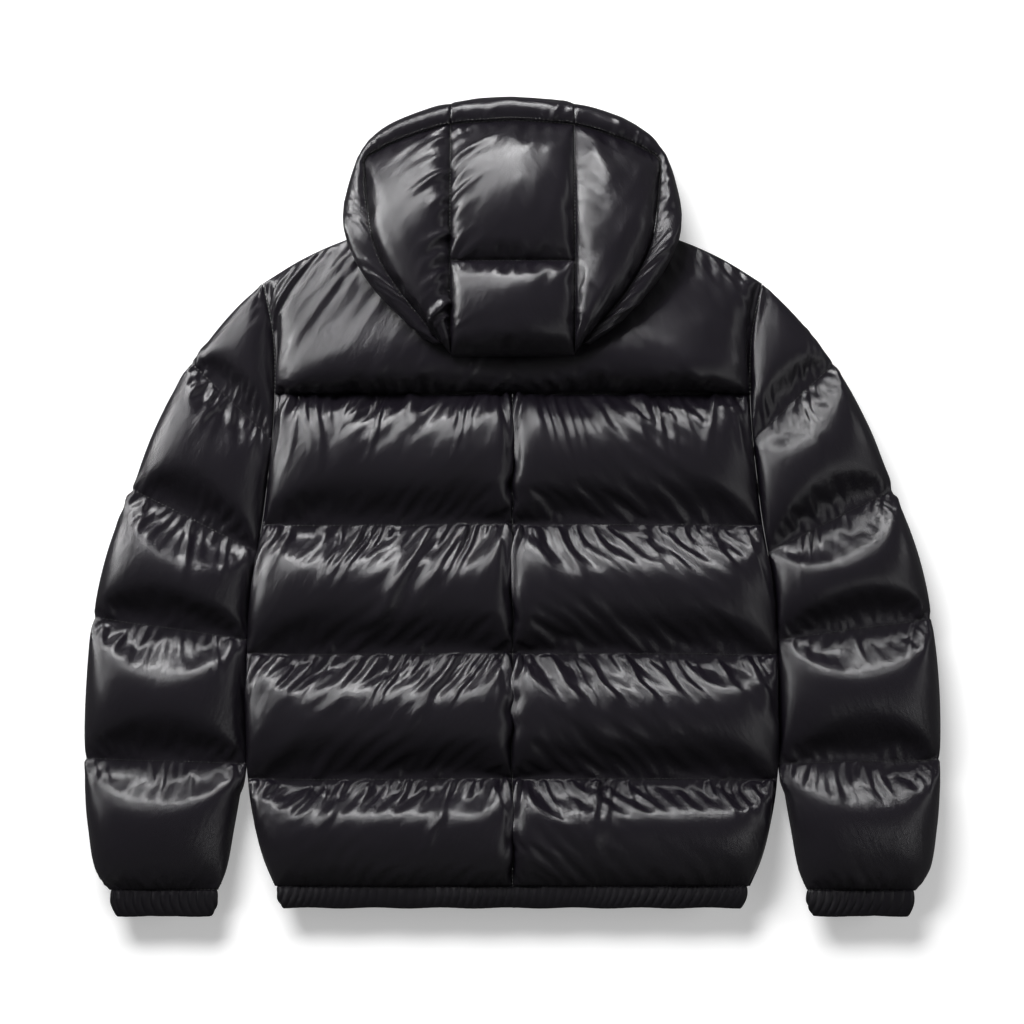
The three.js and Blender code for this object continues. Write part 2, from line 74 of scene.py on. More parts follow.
def smooth_lookup(table, at, key=1):
    """Cubic through the table's rows: each row's slope is that of the line between its neighbours."""
    x, y = table[:, 0], table[:, key]
    slope = np.gradient(y, x)
    at = np.clip(at, x[0], x[-1])
    i = np.clip(np.searchsorted(x, at) - 1, 0, len(x) - 2)
    span = x[i + 1] - x[i]
    t = (at - x[i]) / span
    return (y[i] * (2 * t**3 - 3 * t**2 + 1) + slope[i] * span * (t**3 - 2 * t**2 + t)
            + y[i + 1] * (3 * t**2 - 2 * t**3) + slope[i + 1] * span * (t**3 - t**2))


def bow(t):
    """Across a channel, from t = 0 to 1 along the cloth: (share of the width, height share) on an arc."""
    angle = (2 * t - 1) * ARC
    return 0.5 + np.sin(angle) / (2 * np.sin(ARC)), (np.cos(angle) - np.cos(ARC)) / (1 - np.cos(ARC))


def rise(distance, reach):
    """Quarter of an ellipse: 0 at the edge, 1 at the distance reach and beyond."""
    return np.sqrt(np.clip(1 - (1 - np.clip(distance / reach, 0, 1)) ** 2, 0, 1))


def lumps(seed, u, v, waves):
    """A smooth uneven field between about -1 and 1: the sum of eight sine waves in random directions."""
    rng = np.random.default_rng(seed)
    total = np.zeros(np.broadcast(u, v).shape)
    for _ in range(8):
        ku, kv = rng.normal(0, 1, 2) * waves
        total = total + np.sin(2 * np.pi * (ku * u + kv * v) + rng.uniform(0, 2 * np.pi))
    return total / 4


def even(rows, count):
    """Each row of points, resampled to count points at equal distances along it."""
    length = np.linalg.norm(np.diff(rows, axis=1), axis=-1)
    along = np.concatenate([np.zeros((len(rows), 1)), np.cumsum(length, axis=1)], axis=1)
    out = np.empty((len(rows), count, 3))
    for r in range(len(rows)):
        at = np.linspace(0, along[r, -1], count)
        for k in range(3):
            out[r, :, k] = np.interp(at, along[r], rows[r, :, k])
    return out


def finer(grid):
    """The grid with a new row and column halfway between each two."""
    rows = np.empty((2 * len(grid) - 1,) + grid.shape[1:])
    rows[::2], rows[1::2] = grid, (grid[:-1] + grid[1:]) / 2
    cols = np.empty((len(rows), 2 * grid.shape[1] - 1, 3))
    cols[:, ::2], cols[:, 1::2] = rows, (rows[:, :-1] + rows[:, 1:]) / 2
    return cols


def pull(a, b, rest, wa, wb, give):
    """Move the ends a and b of each thread towards its rest length; a slack thread resists only by give."""
    d = b - a
    length = np.sqrt(np.einsum("...k,...k", d, d)) + 1e-9
    gap = length - rest
    gap = np.where(gap < 0, gap * give, gap)
    step = (gap / (length * np.maximum(wa + wb, 1e-6)))[..., None] * d
    a += step * wa[..., None]
    b -= step * wb[..., None]


def normals(p):
    """Unit normal at each point of a grid: the cross product of its row and column directions."""
    du = np.empty_like(p)
    dv = np.empty_like(p)
    du[:, 1:-1], du[:, 0], du[:, -1] = p[:, 2:] - p[:, :-2], p[:, 1] - p[:, 0], p[:, -1] - p[:, -2]
    dv[1:-1], dv[0], dv[-1] = p[2:] - p[:-2], p[1] - p[0], p[-1] - p[-2]
    n = np.cross(du, dv)
    return n / (np.linalg.norm(n, axis=-1, keepdims=True) + 1e-12)


PRESSURE = 0.006               # of the padding on the cloth, for a cell of unit size
KEPT_SPEED = 0.94              # share of its speed that a point keeps in each round
BEND_STIFFNESS = (0.10, 0.08, 0.05)    # a value for each level, from coarse to fine
EASE_SHARE = (0.0, 0.25, 1.0)  # how much of the extra cloth each level lets in
THREAD_GIVE, BIAS_GIVE = 0.5, 0.3      # how far slack threads and slack diagonals resist


def neighbours(p):
    """Mean of the four neighbours of each inner point, less the point: the grid's Laplacian."""
    return (p[:-2, 1:-1] + p[2:, 1:-1] + p[1:-1, :-2] + p[1:-1, 2:]) / 4 - p[1:-1, 1:-1]


def inflate(form, shape, loose, limit, ease, shear, creases, seed, core, rounds=(60, 100, 200)):
    """Blow up a grid of cloth by position-based dynamics, from coarse to fine.

    form(rows, columns) is the smooth padded shape. ease(rows, columns) is the extra cloth along the
    rows and down the columns, as shares of that shape's lengths. Threads along both directions and
    both diagonals keep their lengths, shear leans the weave, the inside pushes along the normal, a
    twice-applied Laplacian stiffens bends, limit(p) keeps points off the layers and the table, and
    loose(rows, columns) is 0 where the cloth is sewn down. core(p) gives points inside the padding.
    creases(p, n, m, level) starts the folds. The coarse levels get little extra cloth, so that they
    stay smooth."""
    rows, columns = shape
    p = None
    for level in range(len(rounds)):
        n, m = rows * 2**level + 1, columns * 2**level + 1
        shape_now = form(n, m)
        w = loose(n, m)
        cell = np.linalg.norm(shape_now[:, 1:] - shape_now[:, :-1], axis=-1).mean()
        if p is None:
            p = shape_now.copy()
            turn = np.sign((normals(p) * (p - core(p))).sum())
        else:
            p = finer(p)
            sewn = w < 1e-6
            p[sewn] = shape_now[sewn]
        rng = np.random.default_rng(seed + level)
        kick = rng.normal(0, 0.06 * cell, p.shape[:2]) + creases(p, n, m, level)
        p += (kick * w)[..., None] * normals(p)
        ease_u, ease_v = (EASE_SHARE[level] * extra for extra in ease(n, m))
        rest_u = np.linalg.norm(shape_now[:, 1:] - shape_now[:, :-1], axis=-1)
        rest_v = np.linalg.norm(shape_now[1:] - shape_now[:-1], axis=-1)
        rest_u = rest_u * (1 + (ease_u[:, 1:] + ease_u[:, :-1]) / 2)
        rest_v = rest_v * (1 + (ease_v[1:] + ease_v[:-1]) / 2)
        lean = EASE_SHARE[level] * shear(n, m)[1:, 1:] / 2
        extra = ((ease_u + ease_v) / 2)[1:, 1:]
        rest_d = np.linalg.norm(shape_now[1:, 1:] - shape_now[:-1, :-1], axis=-1) * (1 + extra + lean)
        rest_e = np.linalg.norm(shape_now[1:, :-1] - shape_now[:-1, 1:], axis=-1) * (1 + extra - lean)
        before = p.copy()
        for _ in range(rounds[level]):
            speed = p - before
            before = p.copy()
            p += w[..., None] * (KEPT_SPEED * speed + turn * PRESSURE * cell * cell * normals(p))
            for s in (0, 1):
                a, b = np.s_[:, s:m - 1:2], np.s_[:, s + 1:m:2]
                pull(p[a], p[b], rest_u[:, s::2], w[a], w[b], THREAD_GIVE)
                a, b = np.s_[s:n - 1:2], np.s_[s + 1:n:2]
                pull(p[a], p[b], rest_v[s::2], w[a], w[b], THREAD_GIVE)
            for s in (0, 1):
                for here, there, rest in ((np.s_[:-1], np.s_[1:], rest_d), (np.s_[1:], np.s_[:-1], rest_e)):
                    a, b = (np.s_[s:n - 1:2], here), (np.s_[s + 1:n:2], there)
                    pull(p[a], p[b], rest[s::2], w[a], w[b], BIAS_GIVE)
            bend = np.zeros_like(p)
            bend[1:-1, 1:-1] = neighbours(p)
            p[1:-1, 1:-1] -= BEND_STIFFNESS[level] * w[1:-1, 1:-1, None] * neighbours(bend)
            limit(p)
    return p


def grid_faces(rows, columns, start=0, wrap=False):
    """Quads of a grid of rows by columns points; wrap joins its last column to its first."""
    spans = columns if wrap else columns - 1
    r, c = np.meshgrid(np.arange(rows - 1), np.arange(spans), indexing="ij")
    a, b = r * columns + c, r * columns + (c + 1) % columns
    return (np.stack([a, b, b + columns, a + columns], -1).reshape(-1, 4) + start).tolist()


def border(rows, columns):
    """Indices round a grid's edge, in order."""
    g = np.arange(rows * columns).reshape(rows, columns)
    return np.concatenate([g[0, :-1], g[:-1, -1], g[-1, :0:-1], g[:0:-1, 0]])


def make_piece(name, points, faces, smooth_faces, material):
    """A mesh object at the origin; its first smooth_faces faces are smooth."""
    mesh = bpy.data.meshes.new(name)
    mesh.from_pydata(np.asarray(points, dtype=float).tolist(), [], faces)
    flags = np.zeros(len(faces), dtype=bool)
    flags[:smooth_faces] = True
    mesh.polygons.foreach_set("use_smooth", flags)
    mesh.materials.append(material)
    mesh.validate()
    piece = bpy.data.objects.new(name, mesh)
    bpy.context.scene.collection.objects.link(piece)
    return piece


def over(height):
    """Points of a pad's inner face: below or above the grid, at one height."""
    def core(p):
        return np.stack([p[..., 0], p[..., 1], np.full(p.shape[:2], height)], -1)
    return core


def turned_out(faces, outer, inner):
    """The faces, turned over if the grid's own ones point in towards its inner face."""
    if (normals(outer) * (outer - inner)).sum() < 0:
        return [f[::-1] for f in faces]
    return faces


def padded_piece(name, outer, inner_z, material):
    """A pad: the inflated grid outside and one flat face at the height inner_z inside."""
    rows, columns = outer.shape[:2]
    edge = border(rows, columns)
    under = outer.reshape(-1, 3)[edge]
    under[:, 2] = inner_z
    count = rows * columns
    faces = grid_faces(rows, columns)
    smooth_count = len(faces)
    ring = np.arange(len(edge))
    nxt = np.roll(ring, -1)
    strip = np.stack([edge[nxt], edge[ring], count + ring, count + nxt], -1).tolist()
    faces = turned_out(faces + strip + [(count + ring).tolist()], outer, over(inner_z)(outer))
    return make_piece(name, np.concatenate([outer.reshape(-1, 3), under]), faces, smooth_count, material)


def declare_pad(piece, fill, *nodes):
    """A padded shell piece that stands for CAD nodes: it is attached to the jacket, and the nodes are
    hidden.
    """
    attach(piece, "jacket")
    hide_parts(*nodes)


def node(tree, kind, **inputs):
    """A shader node of one kind; inputs are set by socket name, with _ for a space."""
    made = tree.nodes.new(kind)
    for key, value in inputs.items():
        made.inputs[key.replace("_", " ")].default_value = value
    return made


GRAIN_LEAN = -0.45     # how far the fine creases lean from straight down, in radians
GRAIN_STRETCH = 0.22


def cloth_grain_group():
    """Fine creasing of thin nylon: noise drawn out along the way the cloth is pulled, the same way on
    both halves of the body, and a hair-fine rib, as a height and a mask."""
    group = bpy.data.node_groups.new("cloth grain", "ShaderNodeTree")
    face = group.interface
    for name, value in (("Crease Scale", 90.0), ("Rib Scale", 900.0), ("Rib Share", 0.15)):
        face.new_socket(name, in_out="INPUT", socket_type="NodeSocketFloat").default_value = value
    face.new_socket("Height", in_out="OUTPUT", socket_type="NodeSocketFloat")
    face.new_socket("Mask", in_out="OUTPUT", socket_type="NodeSocketFloat")
    inside, outside = group.nodes.new("NodeGroupInput"), group.nodes.new("NodeGroupOutput")
    place = group.nodes.new("ShaderNodeTexCoord")
    crease = node(group, "ShaderNodeTexNoise", Detail=2.0, Roughness=0.5)
    broad = node(group, "ShaderNodeTexNoise", Scale=14.0, Detail=2.0)
    rib = group.nodes.new("ShaderNodeTexWave")
    rib.bands_direction = "DIAGONAL"
    weigh = group.nodes.new("ShaderNodeMath")
    weigh.operation = "MULTIPLY_ADD"
    for made in (broad, rib):
        group.links.new(place.outputs["Object"], made.inputs["Vector"])
    apart, mirror, joined = (group.nodes.new("ShaderNode" + kind)
                             for kind in ("SeparateXYZ", "Math", "CombineXYZ"))
    mirror.operation = "ABSOLUTE"
    turned = group.nodes.new("ShaderNodeMapping")
    turned.inputs["Rotation"].default_value = (0, 0, GRAIN_LEAN)
    stretched = group.nodes.new("ShaderNodeMapping")
    stretched.inputs["Scale"].default_value = (1, GRAIN_STRETCH, 1)
    group.links.new(place.outputs["Object"], apart.inputs[0])
    group.links.new(apart.outputs["X"], mirror.inputs[0])
    for socket, source in (("X", mirror.outputs[0]), ("Y", apart.outputs["Y"]), ("Z", apart.outputs["Z"])):
        group.links.new(source, joined.inputs[socket])
    group.links.new(joined.outputs[0], turned.inputs["Vector"])
    group.links.new(turned.outputs[0], stretched.inputs["Vector"])
    group.links.new(stretched.outputs[0], crease.inputs["Vector"])
    group.links.new(inside.outputs["Crease Scale"], crease.inputs["Scale"])
    group.links.new(inside.outputs["Rib Scale"], rib.inputs["Scale"])
    group.links.new(rib.outputs["Fac"], weigh.inputs[0])
    group.links.new(inside.outputs["Rib Share"], weigh.inputs[1])
    group.links.new(crease.outputs["Fac"], weigh.inputs[2])
    group.links.new(weigh.outputs[0], outside.inputs["Height"])
    group.links.new(broad.outputs["Fac"], outside.inputs["Mask"])
    return group


cloth_grain = cloth_grain_group()


def cloth_material(name, dark, light, gloss, crease, rib, depth, specular=0.5, coat=0.0):
    """Woven cloth: colour from dark to light and roughness gloss[0] to gloss[1] by the grain's mask."""
    material = bpy.data.materials.new(name)
    material.use_nodes = True
    tree = material.node_tree
    principled = tree.nodes["Principled BSDF"]
    principled.inputs["Specular IOR Level"].default_value = specular
    principled.inputs["Coat Weight"].default_value = coat
    principled.inputs["Coat Roughness"].default_value = 0.2
    grain = tree.nodes.new("ShaderNodeGroup")
    grain.node_tree = cloth_grain
    grain.inputs["Crease Scale"].default_value = crease
    grain.inputs["Rib Scale"].default_value = rib
    colour = node(tree, "ShaderNodeMix")
    colour.data_type = "RGBA"
    colour.inputs["A"].default_value = (*dark, 1)
    colour.inputs["B"].default_value = (*light, 1)
    rough = node(tree, "ShaderNodeMapRange", To_Min=gloss[0], To_Max=gloss[1])
    bump = node(tree, "ShaderNodeBump", Strength=1.0, Distance=depth)
    tree.links.new(grain.outputs["Mask"], colour.inputs["Factor"])
    tree.links.new(grain.outputs["Mask"], rough.inputs["Value"])
    tree.links.new(grain.outputs["Height"], bump.inputs["Height"])
    tree.links.new(colour.outputs["Result"], principled.inputs["Base Color"])
    tree.links.new(rough.outputs["Result"], principled.inputs["Roughness"])
    tree.links.new(bump.outputs["Normal"], principled.inputs["Normal"])
    return material


shell_cloth = cloth_material("glossy shell nylon", (0.0062, 0.0050, 0.0078), (0.0088, 0.0072, 0.0110),
                             (0.26, 0.32), 190.0, 1400.0, 0.00040)


def wavy_line(seed, x, size):
    """How far a stitched line strays from straight at x: three slow sine waves."""
    rng = np.random.default_rng(seed)
    return size * sum(np.sin(x * k + rng.uniform(0, 6.3)) for k in (13.0, 29.0, 53.0)) / 2


def channel_place(n, channels):
    """For n rows over several channels: channel number, width share and height share of each row."""
    t = np.linspace(0, channels, n)
    k = np.minimum(t.astype(int), channels - 1)
    share, full = bow(t - k)
    return k, share, full


def body_half(y):
    return smooth_lookup(BODY_EDGE, y)


EDGE_Y = np.linspace(BODY_EDGE[0, 0], BODY_EDGE[-1, 0], 400)
EDGE_X = body_half(EDGE_Y)


def side_edge(y):
    """The same half width, looked up quickly."""
    return np.interp(y, EDGE_Y, EDGE_X)


CENTRE_LIFT = 0.013    # how high the centre back seam loops up between two stitched lines
CENTRE_REACH = 0.016   # how far from that seam a channel is fully swollen
SIDE_REACH = 0.05      # the same from the side seam
PINCH_REACH = 0.02     # how far in from a side seam the cloth is pinched flatter
SEAM_GAP = 0.00015     # between a panel and a seam's middle
SIDE_GAP = 0.0001      # between a panel and the body's outline
SIDE_BULGE = 0.001     # how far a channel bulges out beyond its side seam, below the arms
LINE_STRAY = 0.0007    # how far the stitched lines stray from straight
CENTRE_SWAY = 0.0016   # how far the centre seam sways to the side


def back_form(side, seed):
    """A half of the back: arcs between the stitched lines, swollen from the centre seam to the side."""
    lines = CHANNEL_LINES

    def form(n, m):
        k, share, full = channel_place(n, BACK_CHANNELS)
        u = np.linspace(0, 1, 3 * m)[None, :] ** 0.9
        y_mid = lines[k] + share * (lines[k + 1] - lines[k])
        below_arm = np.clip((-0.03 - y_mid) / 0.03, 0, 1)[:, None]
        half = body_half(y_mid)[:, None] - SIDE_GAP + SIDE_BULGE * full[:, None] * below_arm
        x = SEAM_GAP + u * (half - SEAM_GAP)
        on_line = 1 - full[:, None]
        ends = np.clip(np.minimum(y_mid - lines[0], lines[-1] - y_mid) / 0.03, 0, 1)[:, None]
        y = y_mid[:, None] + wavy_line(seed, x * side, LINE_STRAY) * on_line * ends
        centre = CENTRE_LIFT / LOFT * (1 + 0.15 * np.sin(y_mid * 110 + 4 * np.sin(y_mid * 37)))[:, None]
        crown = (centre + (1 - centre) * rise(x, CENTRE_REACH)) * rise(half - x, SIDE_REACH)
        z = MID + PINCH + LOFT * full[:, None] * crown - EDGE_PINCH * (1 - rise(half - x, PINCH_REACH))
        sway = CENTRE_SWAY * full * np.sin(y_mid * 60 + 5 * np.sin(y_mid * 31)) * ends[:, 0]
        x = x + side * (sway[:, None] * np.clip(1 - u * 6, 0, 1))
        return even(np.stack([x * side, y, z], -1), m)

    return form


def seams_held(channels=1):
    """Looseness of a grid: 0 on its sewn edges and on the stitched lines between its channels."""
    def loose(n, m):
        w = np.ones((n, m))
        w[::(n - 1) // channels] = 0
        w[:, 0] = w[:, -1] = 0
        return w
    return loose


def channel_rows(p, channels):
    """The rows of each channel of a grid, with the stitched lines at its two ends."""
    step = (len(p) - 1) // channels
    return [np.s_[k * step:(k + 1) * step + 1] for k in range(channels)]


def stitched_rows(p, channels):
    """A grid's rows along its stitched lines, with its first and its last row."""
    return p[::(len(p) - 1) // channels]


def gathered(seed, channels, along=0.004, at_seam=0.03, down=0.004, at_edge=0.02, waves=5.0):
    """Extra cloth: more along a stitched line than at the crown, more down the sewn sides, uneven."""
    def ease(n, m):
        _, _, full = channel_place(n, channels)
        u, v = np.linspace(0, 1, m)[None, :], np.linspace(0, 1, n)[:, None]
        uneven = 1 + 0.6 * lumps(seed, u, v, waves)
        across = along + at_seam * (1 - full[:, None]) ** 1.5
        downward = down + at_edge * (1 - rise(np.minimum(u, 1 - u), 0.16))
        return across * uneven, downward * (1 + 0.4 * lumps(seed + 1, u, v, waves))
    return ease


def leaning(seed, mean, spread):
    """How far the weave leans: a mean and an uneven part."""
    def shear(n, m):
        u, v = np.linspace(0, 1, m)[None, :], np.linspace(0, 1, n)[:, None]
        return mean + spread * lumps(seed, u, v, 2.5)
    return shear


FINE_RIPPLE, BROAD_RIPPLE = 0.0075, 0.015      # widths of the ripples that folds start from


def creased(seed, lean, channels=1, depth=0.0003):
    """Where folds start: two sets of ripples across the rows, leaning as they go up. The fine ones
    fade away from a stitched line, and the broad ones cross the crown in patches."""
    def heights(p, n, m, level):
        if level == 0:
            return np.zeros((n, m))
        _, _, full = channel_place(n, channels)
        full = full[:, None]
        width = np.linalg.norm(p[:, 1:] - p[:, :-1], axis=-1).sum(axis=1).max()
        height = np.linalg.norm(p[1:] - p[:-1], axis=-1).sum(axis=0).max()
        u, v = np.linspace(0, 1, m)[None, :], np.linspace(0, 1, n)[:, None]
        place = u * width + (lean + 0.35 * lumps(seed, u, v, 1.5)) * v * height
        patch = np.clip(0.55 + 0.8 * lumps(seed + 1, u, v, (3, 2 * channels)), 0, 1.4)
        across = np.sin(2 * np.pi * (place / BROAD_RIPPLE + 0.9 * lumps(seed + 2, u, v, 3)))
        out = across * (0.3 + 0.7 * full) * patch
        if level > 1:
            near = np.sin(2 * np.pi * (place / FINE_RIPPLE + 1.2 * lumps(seed + 3, u, v, 4)))
            out = 0.4 * out + near * (1 - full) ** 0.8
        return depth * out
    return heights


def seam_frame(p, edge):
    """Distance along a grid's edge, and distance from it into the cloth, at each point. The edges are
    low (first row), top (last row), left (first column) and right (last column)."""
    def run(axis):
        step = np.linalg.norm(np.diff(p, axis=axis), axis=-1)
        return np.concatenate([np.zeros_like(np.take(step, [0], axis)), np.cumsum(step, axis=axis)], axis)
    across, down = run(1), run(0)
    return {"low": (across, down), "top": (across, down[-1:] - down),
            "left": (down, across), "right": (down, across[:, -1:] - across)}[edge]


def fold(s, t, at, lean, length, width, height):
    """One soft fold that starts at the seam t = 0, at the distance s = at along it, and leans by lean as
    it runs away from the seam: a rounded crest between two shallow troughs, fading out over its length."""
    d = (s - at - lean * t) / (width * (1 + 0.5 * t / length))
    fade = np.clip(1 - t / length, 0, 1) ** 0.8 * np.clip(t / 0.004, 0, 1) ** 0.7
    return height * (1 - 0.5 * d * d) * np.exp(-0.5 * d * d) * fade


def seam_folds(seed, s, t, pitch, lean, length, height, width=0.0031, skip=0.12):
    """Many uneven folds along one seam, in bunches with calmer stretches between them: place, lean,
    length, width and height vary about their means."""
    rng = np.random.default_rng(seed)
    phase, bunch = rng.uniform(0, 2 * np.pi), rng.uniform(0.07, 0.11)
    total = np.zeros_like(s)
    at = pitch * rng.uniform(0.2, 0.8)
    while at < s.max():
        drawn = rng.uniform(0, 1, 6)
        busy = 0.6 + 0.4 * np.sin(2 * np.pi * at / bunch + phase)
        if drawn[0] > skip:
            total += fold(s, t, at, lean + 0.28 * (drawn[1] - 0.5), length * (0.35 + 1.1 * drawn[2] ** 1.3),
                          width * (0.65 + 0.9 * drawn[3]), busy * height * (0.4 + 1.3 * drawn[4]))
        at += pitch * (0.55 + 0.9 * drawn[5])
    return total


def raised(p, heights, core, limit):
    """The cloth moved out from its padding along its normals, but not where it is sewn down."""
    n = normals(p)
    out = p + (heights * np.sign((n * (p - core(p))).sum()))[..., None] * n
    limit(out)
    for edge in (np.s_[0], np.s_[-1], np.s_[:, 0], np.s_[:, -1]):
        out[edge] = p[edge]
    return out


# Folds of a back half, from the hem up: channel, edge, pitch, lean, length, height, width.
BACK_FOLDS = (
    (0, "top", 0.030, 0.45, 0.080, 0.0034, 0.0065), (0, "top", 0.0095, 0.50, 0.044, 0.0018, 0.0024),
    (1, "top", 0.028, 0.65, 0.105, 0.0042, 0.0070), (1, "top", 0.0100, 0.70, 0.066, 0.0023, 0.0026),
    (2, "top", 0.030, 0.50, 0.115, 0.0046, 0.0075), (2, "top", 0.0105, 0.55, 0.078, 0.0024, 0.0027),
    (3, "top", 0.034, 0.15, 0.110, 0.0036, 0.0075), (3, "top", 0.0105, 0.30, 0.072, 0.0020, 0.0027),
    (0, "low", 0.0080, -0.3, 0.024, 0.0005, 0.0025), (1, "low", 0.0080, -0.3, 0.020, 0.0005, 0.0025),
    (2, "low", 0.0080, -0.3, 0.020, 0.0005, 0.0025), (3, "low", 0.0080, -0.2, 0.018, 0.0005, 0.0025),
)
# Single large folds: side, channel, distance from the centre, lean, length, width, height.
LONG_FOLDS = (
    (-1, 3, 0.210, 0.02, 0.100, 0.0034, 0.0040), (-1, 3, 0.224, -0.06, 0.085, 0.0030, 0.0036),
    (-1, 3, 0.195, 0.10, 0.060, 0.0034, 0.0026), (1, 3, 0.215, -0.04, 0.090, 0.0032, 0.0030),
    (1, 0, 0.088, 0.10, 0.100, 0.0050, 0.0048), (1, 0, 0.104, 0.02, 0.080, 0.0036, 0.0030),
    (-1, 2, 0.052, 0.62, 0.120, 0.0060, 0.0046), (1, 2, 0.046, 0.55, 0.110, 0.0060, 0.0044),
    (-1, 1, 0.060, 0.70, 0.110, 0.0055, 0.0040), (1, 1, 0.075, 0.66, 0.100, 0.0055, 0.0036),
)


def back_folds(p, side, seed):
    """Folds of all the channels; at the top of each one a long loop and a short fold beside the centre
    seam, two short folds beside the side seam, and the single large ones."""
    out = np.zeros(p.shape[:2])
    parts = channel_rows(p, BACK_CHANNELS)
    rng = np.random.default_rng(seed)
    for number, (k, edge, *sizes) in enumerate(BACK_FOLDS):
        out[parts[k]] += seam_folds(seed + number, *seam_frame(p[parts[k]], edge), *sizes)
    for k, part in enumerate(parts):
        s, t = seam_frame(p[part], "top")
        out[part] += fold(s, t, 0.0068, 0.02 * rng.uniform(-1, 1), rng.uniform(0.085, 0.11), 0.0030, 0.0066)
        out[part] += fold(s, t, 0.0175, 0.05, rng.uniform(0.03, 0.06), 0.0030, 0.0012)
        beyond = s.max(axis=1, keepdims=True) - s
        out[part] += fold(beyond, t, 0.010, 0.03, rng.uniform(0.05, 0.08), 0.0028, 0.0016)
        out[part] += fold(beyond, t, 0.022, -0.05, rng.uniform(0.03, 0.06), 0.0028, 0.0012)
        for where, channel, *sizes in LONG_FOLDS:
            if (where, channel) == (side, k):
                out[part] += fold(s, t, *sizes)
    return out


SIDES = ((1, "right"), (-1, "left"))
LEAST_PADDING = 0.002  # between the middle plane and the outer cloth
ARMPIT = -0.05         # y, below which a side seam is free of the sleeve
OUT_OF_SEAM = 0.0016   # how far the cloth may stand out beyond a free side seam
OVER_SEAM = 0.003      # how far it may hang over the hem seam and the centre seam


def back_limit(side):
    def limit(p):
        np.maximum(p[..., 2], MID + LEAST_PADDING, out=p[..., 2])
        np.maximum(p[..., 1], CHANNEL_LINES[0] - OVER_SEAM, out=p[..., 1])
        edge = side_edge(p[..., 1]) + np.where(p[..., 1] < ARMPIT, OUT_OF_SEAM, -SIDE_GAP)
        p[:, 1:, 0] = np.clip(p[:, 1:, 0] * side, -OVER_SEAM, edge[:, 1:]) * side
    return limit


stitch_lines = []      # paths of the sewing, each with the side it faces, up (1) or down (-1)
for side, word in SIDES:
    cloth = inflate(back_form(side, 11), (60, 32), seams_held(BACK_CHANNELS), back_limit(side),
                    gathered(21 + side, BACK_CHANNELS), leaning(31 + side, 0.02, 0.03),
                    creased(36 + 5 * side, 0.5, BACK_CHANNELS), 41 + side, over(MID))
    cloth = raised(cloth, back_folds(cloth, side, 50 + 300 * (side + 1)), over(MID), back_limit(side))
    piece = padded_piece(f"back_panel_{word}", cloth, MID + LAYER_GAP, shell_cloth)
    declare_pad(piece, 0.7, f"back_{word}")
    stitch_lines += [(row, 1) for row in stitched_rows(cloth, BACK_CHANNELS)] + [(cloth[:, 0], 1)]

# ---- Yoke ----------------------------------------------------------------------------------------
# One padded channel across the shoulders, from armhole to armhole, sewn to the back panels below and
# to the fronts along the shoulders. Its middle lies under the hood.
BACK_TOP = np.array([  # distance from the centre, y of the neckline and then of the shoulder line
    (0.0, 0.240), (0.040, 0.250), (0.074, 0.276), (0.092, 0.300),
    (0.130, 0.294), (0.176, 0.281), (0.221, 0.261), (0.262, 0.236),
])
SHOULDER_X = 0.262
YOKE_LOFT = 0.040
YOKE_CREST = 0.27      # the yoke is fullest low down, and slopes evenly from there up to the shoulders
UNDER_HOOD = 0.070     # as high as the yoke may rise where the hood lies on it
YOKE_HIGHEST = 0.082   # and elsewhere
# Folds of a yoke half: edge, pitch, lean, length, height; then the width of them all.
YOKE_FOLDS = (("low", 0.016, -0.55, 0.080, 0.0020), ("top", 0.017, 0.70, 0.140, 0.0024))
YOKE_FOLD_WIDTH = 0.0055


def yoke_form(n, m):
    """A channel between the seam and the neck and shoulders, highest at YOKE_CREST of its way up."""
    t = np.linspace(0, 1, n)[:, None]
    share, full = bow(t)
    swollen = rise(t, YOKE_CREST) * np.clip((1.04 - t) / (1.04 - YOKE_CREST), 0, 1) * rise(1 - t, 0.10)
    c = np.linspace(-1, 1, 3 * m)[None, :]
    top = smooth_lookup(BACK_TOP, np.abs(c) * SHOULDER_X)
    y = YOKE_SEAM + SEAM_GAP * 2 + share * (top - YOKE_SEAM)
    half = body_half(y) - SIDE_GAP
    edge = half * (1 - np.abs(c))
    pressed = 1 - 0.4 * np.exp(-(c * half / 0.095) ** 2)      # by the hood's weight
    swell = YOKE_LOFT * swollen * pressed * rise(edge, 0.08)
    z = MID + PINCH + swell - EDGE_PINCH * (1 - rise(edge, PINCH_REACH))
    y = y + wavy_line(11, c * half, 0.0014) * (1 - full) * (share < 0.5)
    return even(np.stack([c * half, y, z], -1), m)


def yoke_limit(p):
    under = np.abs(p[..., 0]) < 0.068 + 0.9 * (p[..., 1] - 0.165)
    top = np.where(under & (p[..., 1] > 0.160), UNDER_HOOD, YOKE_HIGHEST)
    np.clip(p[..., 2], MID + LEAST_PADDING, top, out=p[..., 2])
    edge = side_edge(p[..., 1]) - SIDE_GAP
    np.clip(p[..., 0], -edge, edge, out=p[..., 0])


def yoke_folds(p, seed):
    """Folds from the seam below, and longer ones that come down from under the hood, on each side."""
    half = p.shape[1] // 2
    out = np.zeros(p.shape[:2])
    for part in (np.s_[:, half:], np.s_[:, half::-1]):
        for number, (edge, *sizes) in enumerate(YOKE_FOLDS):
            out[part] += seam_folds(seed + number, *seam_frame(p[part], edge), *sizes, YOKE_FOLD_WIDTH)
        seed += 10
    return out


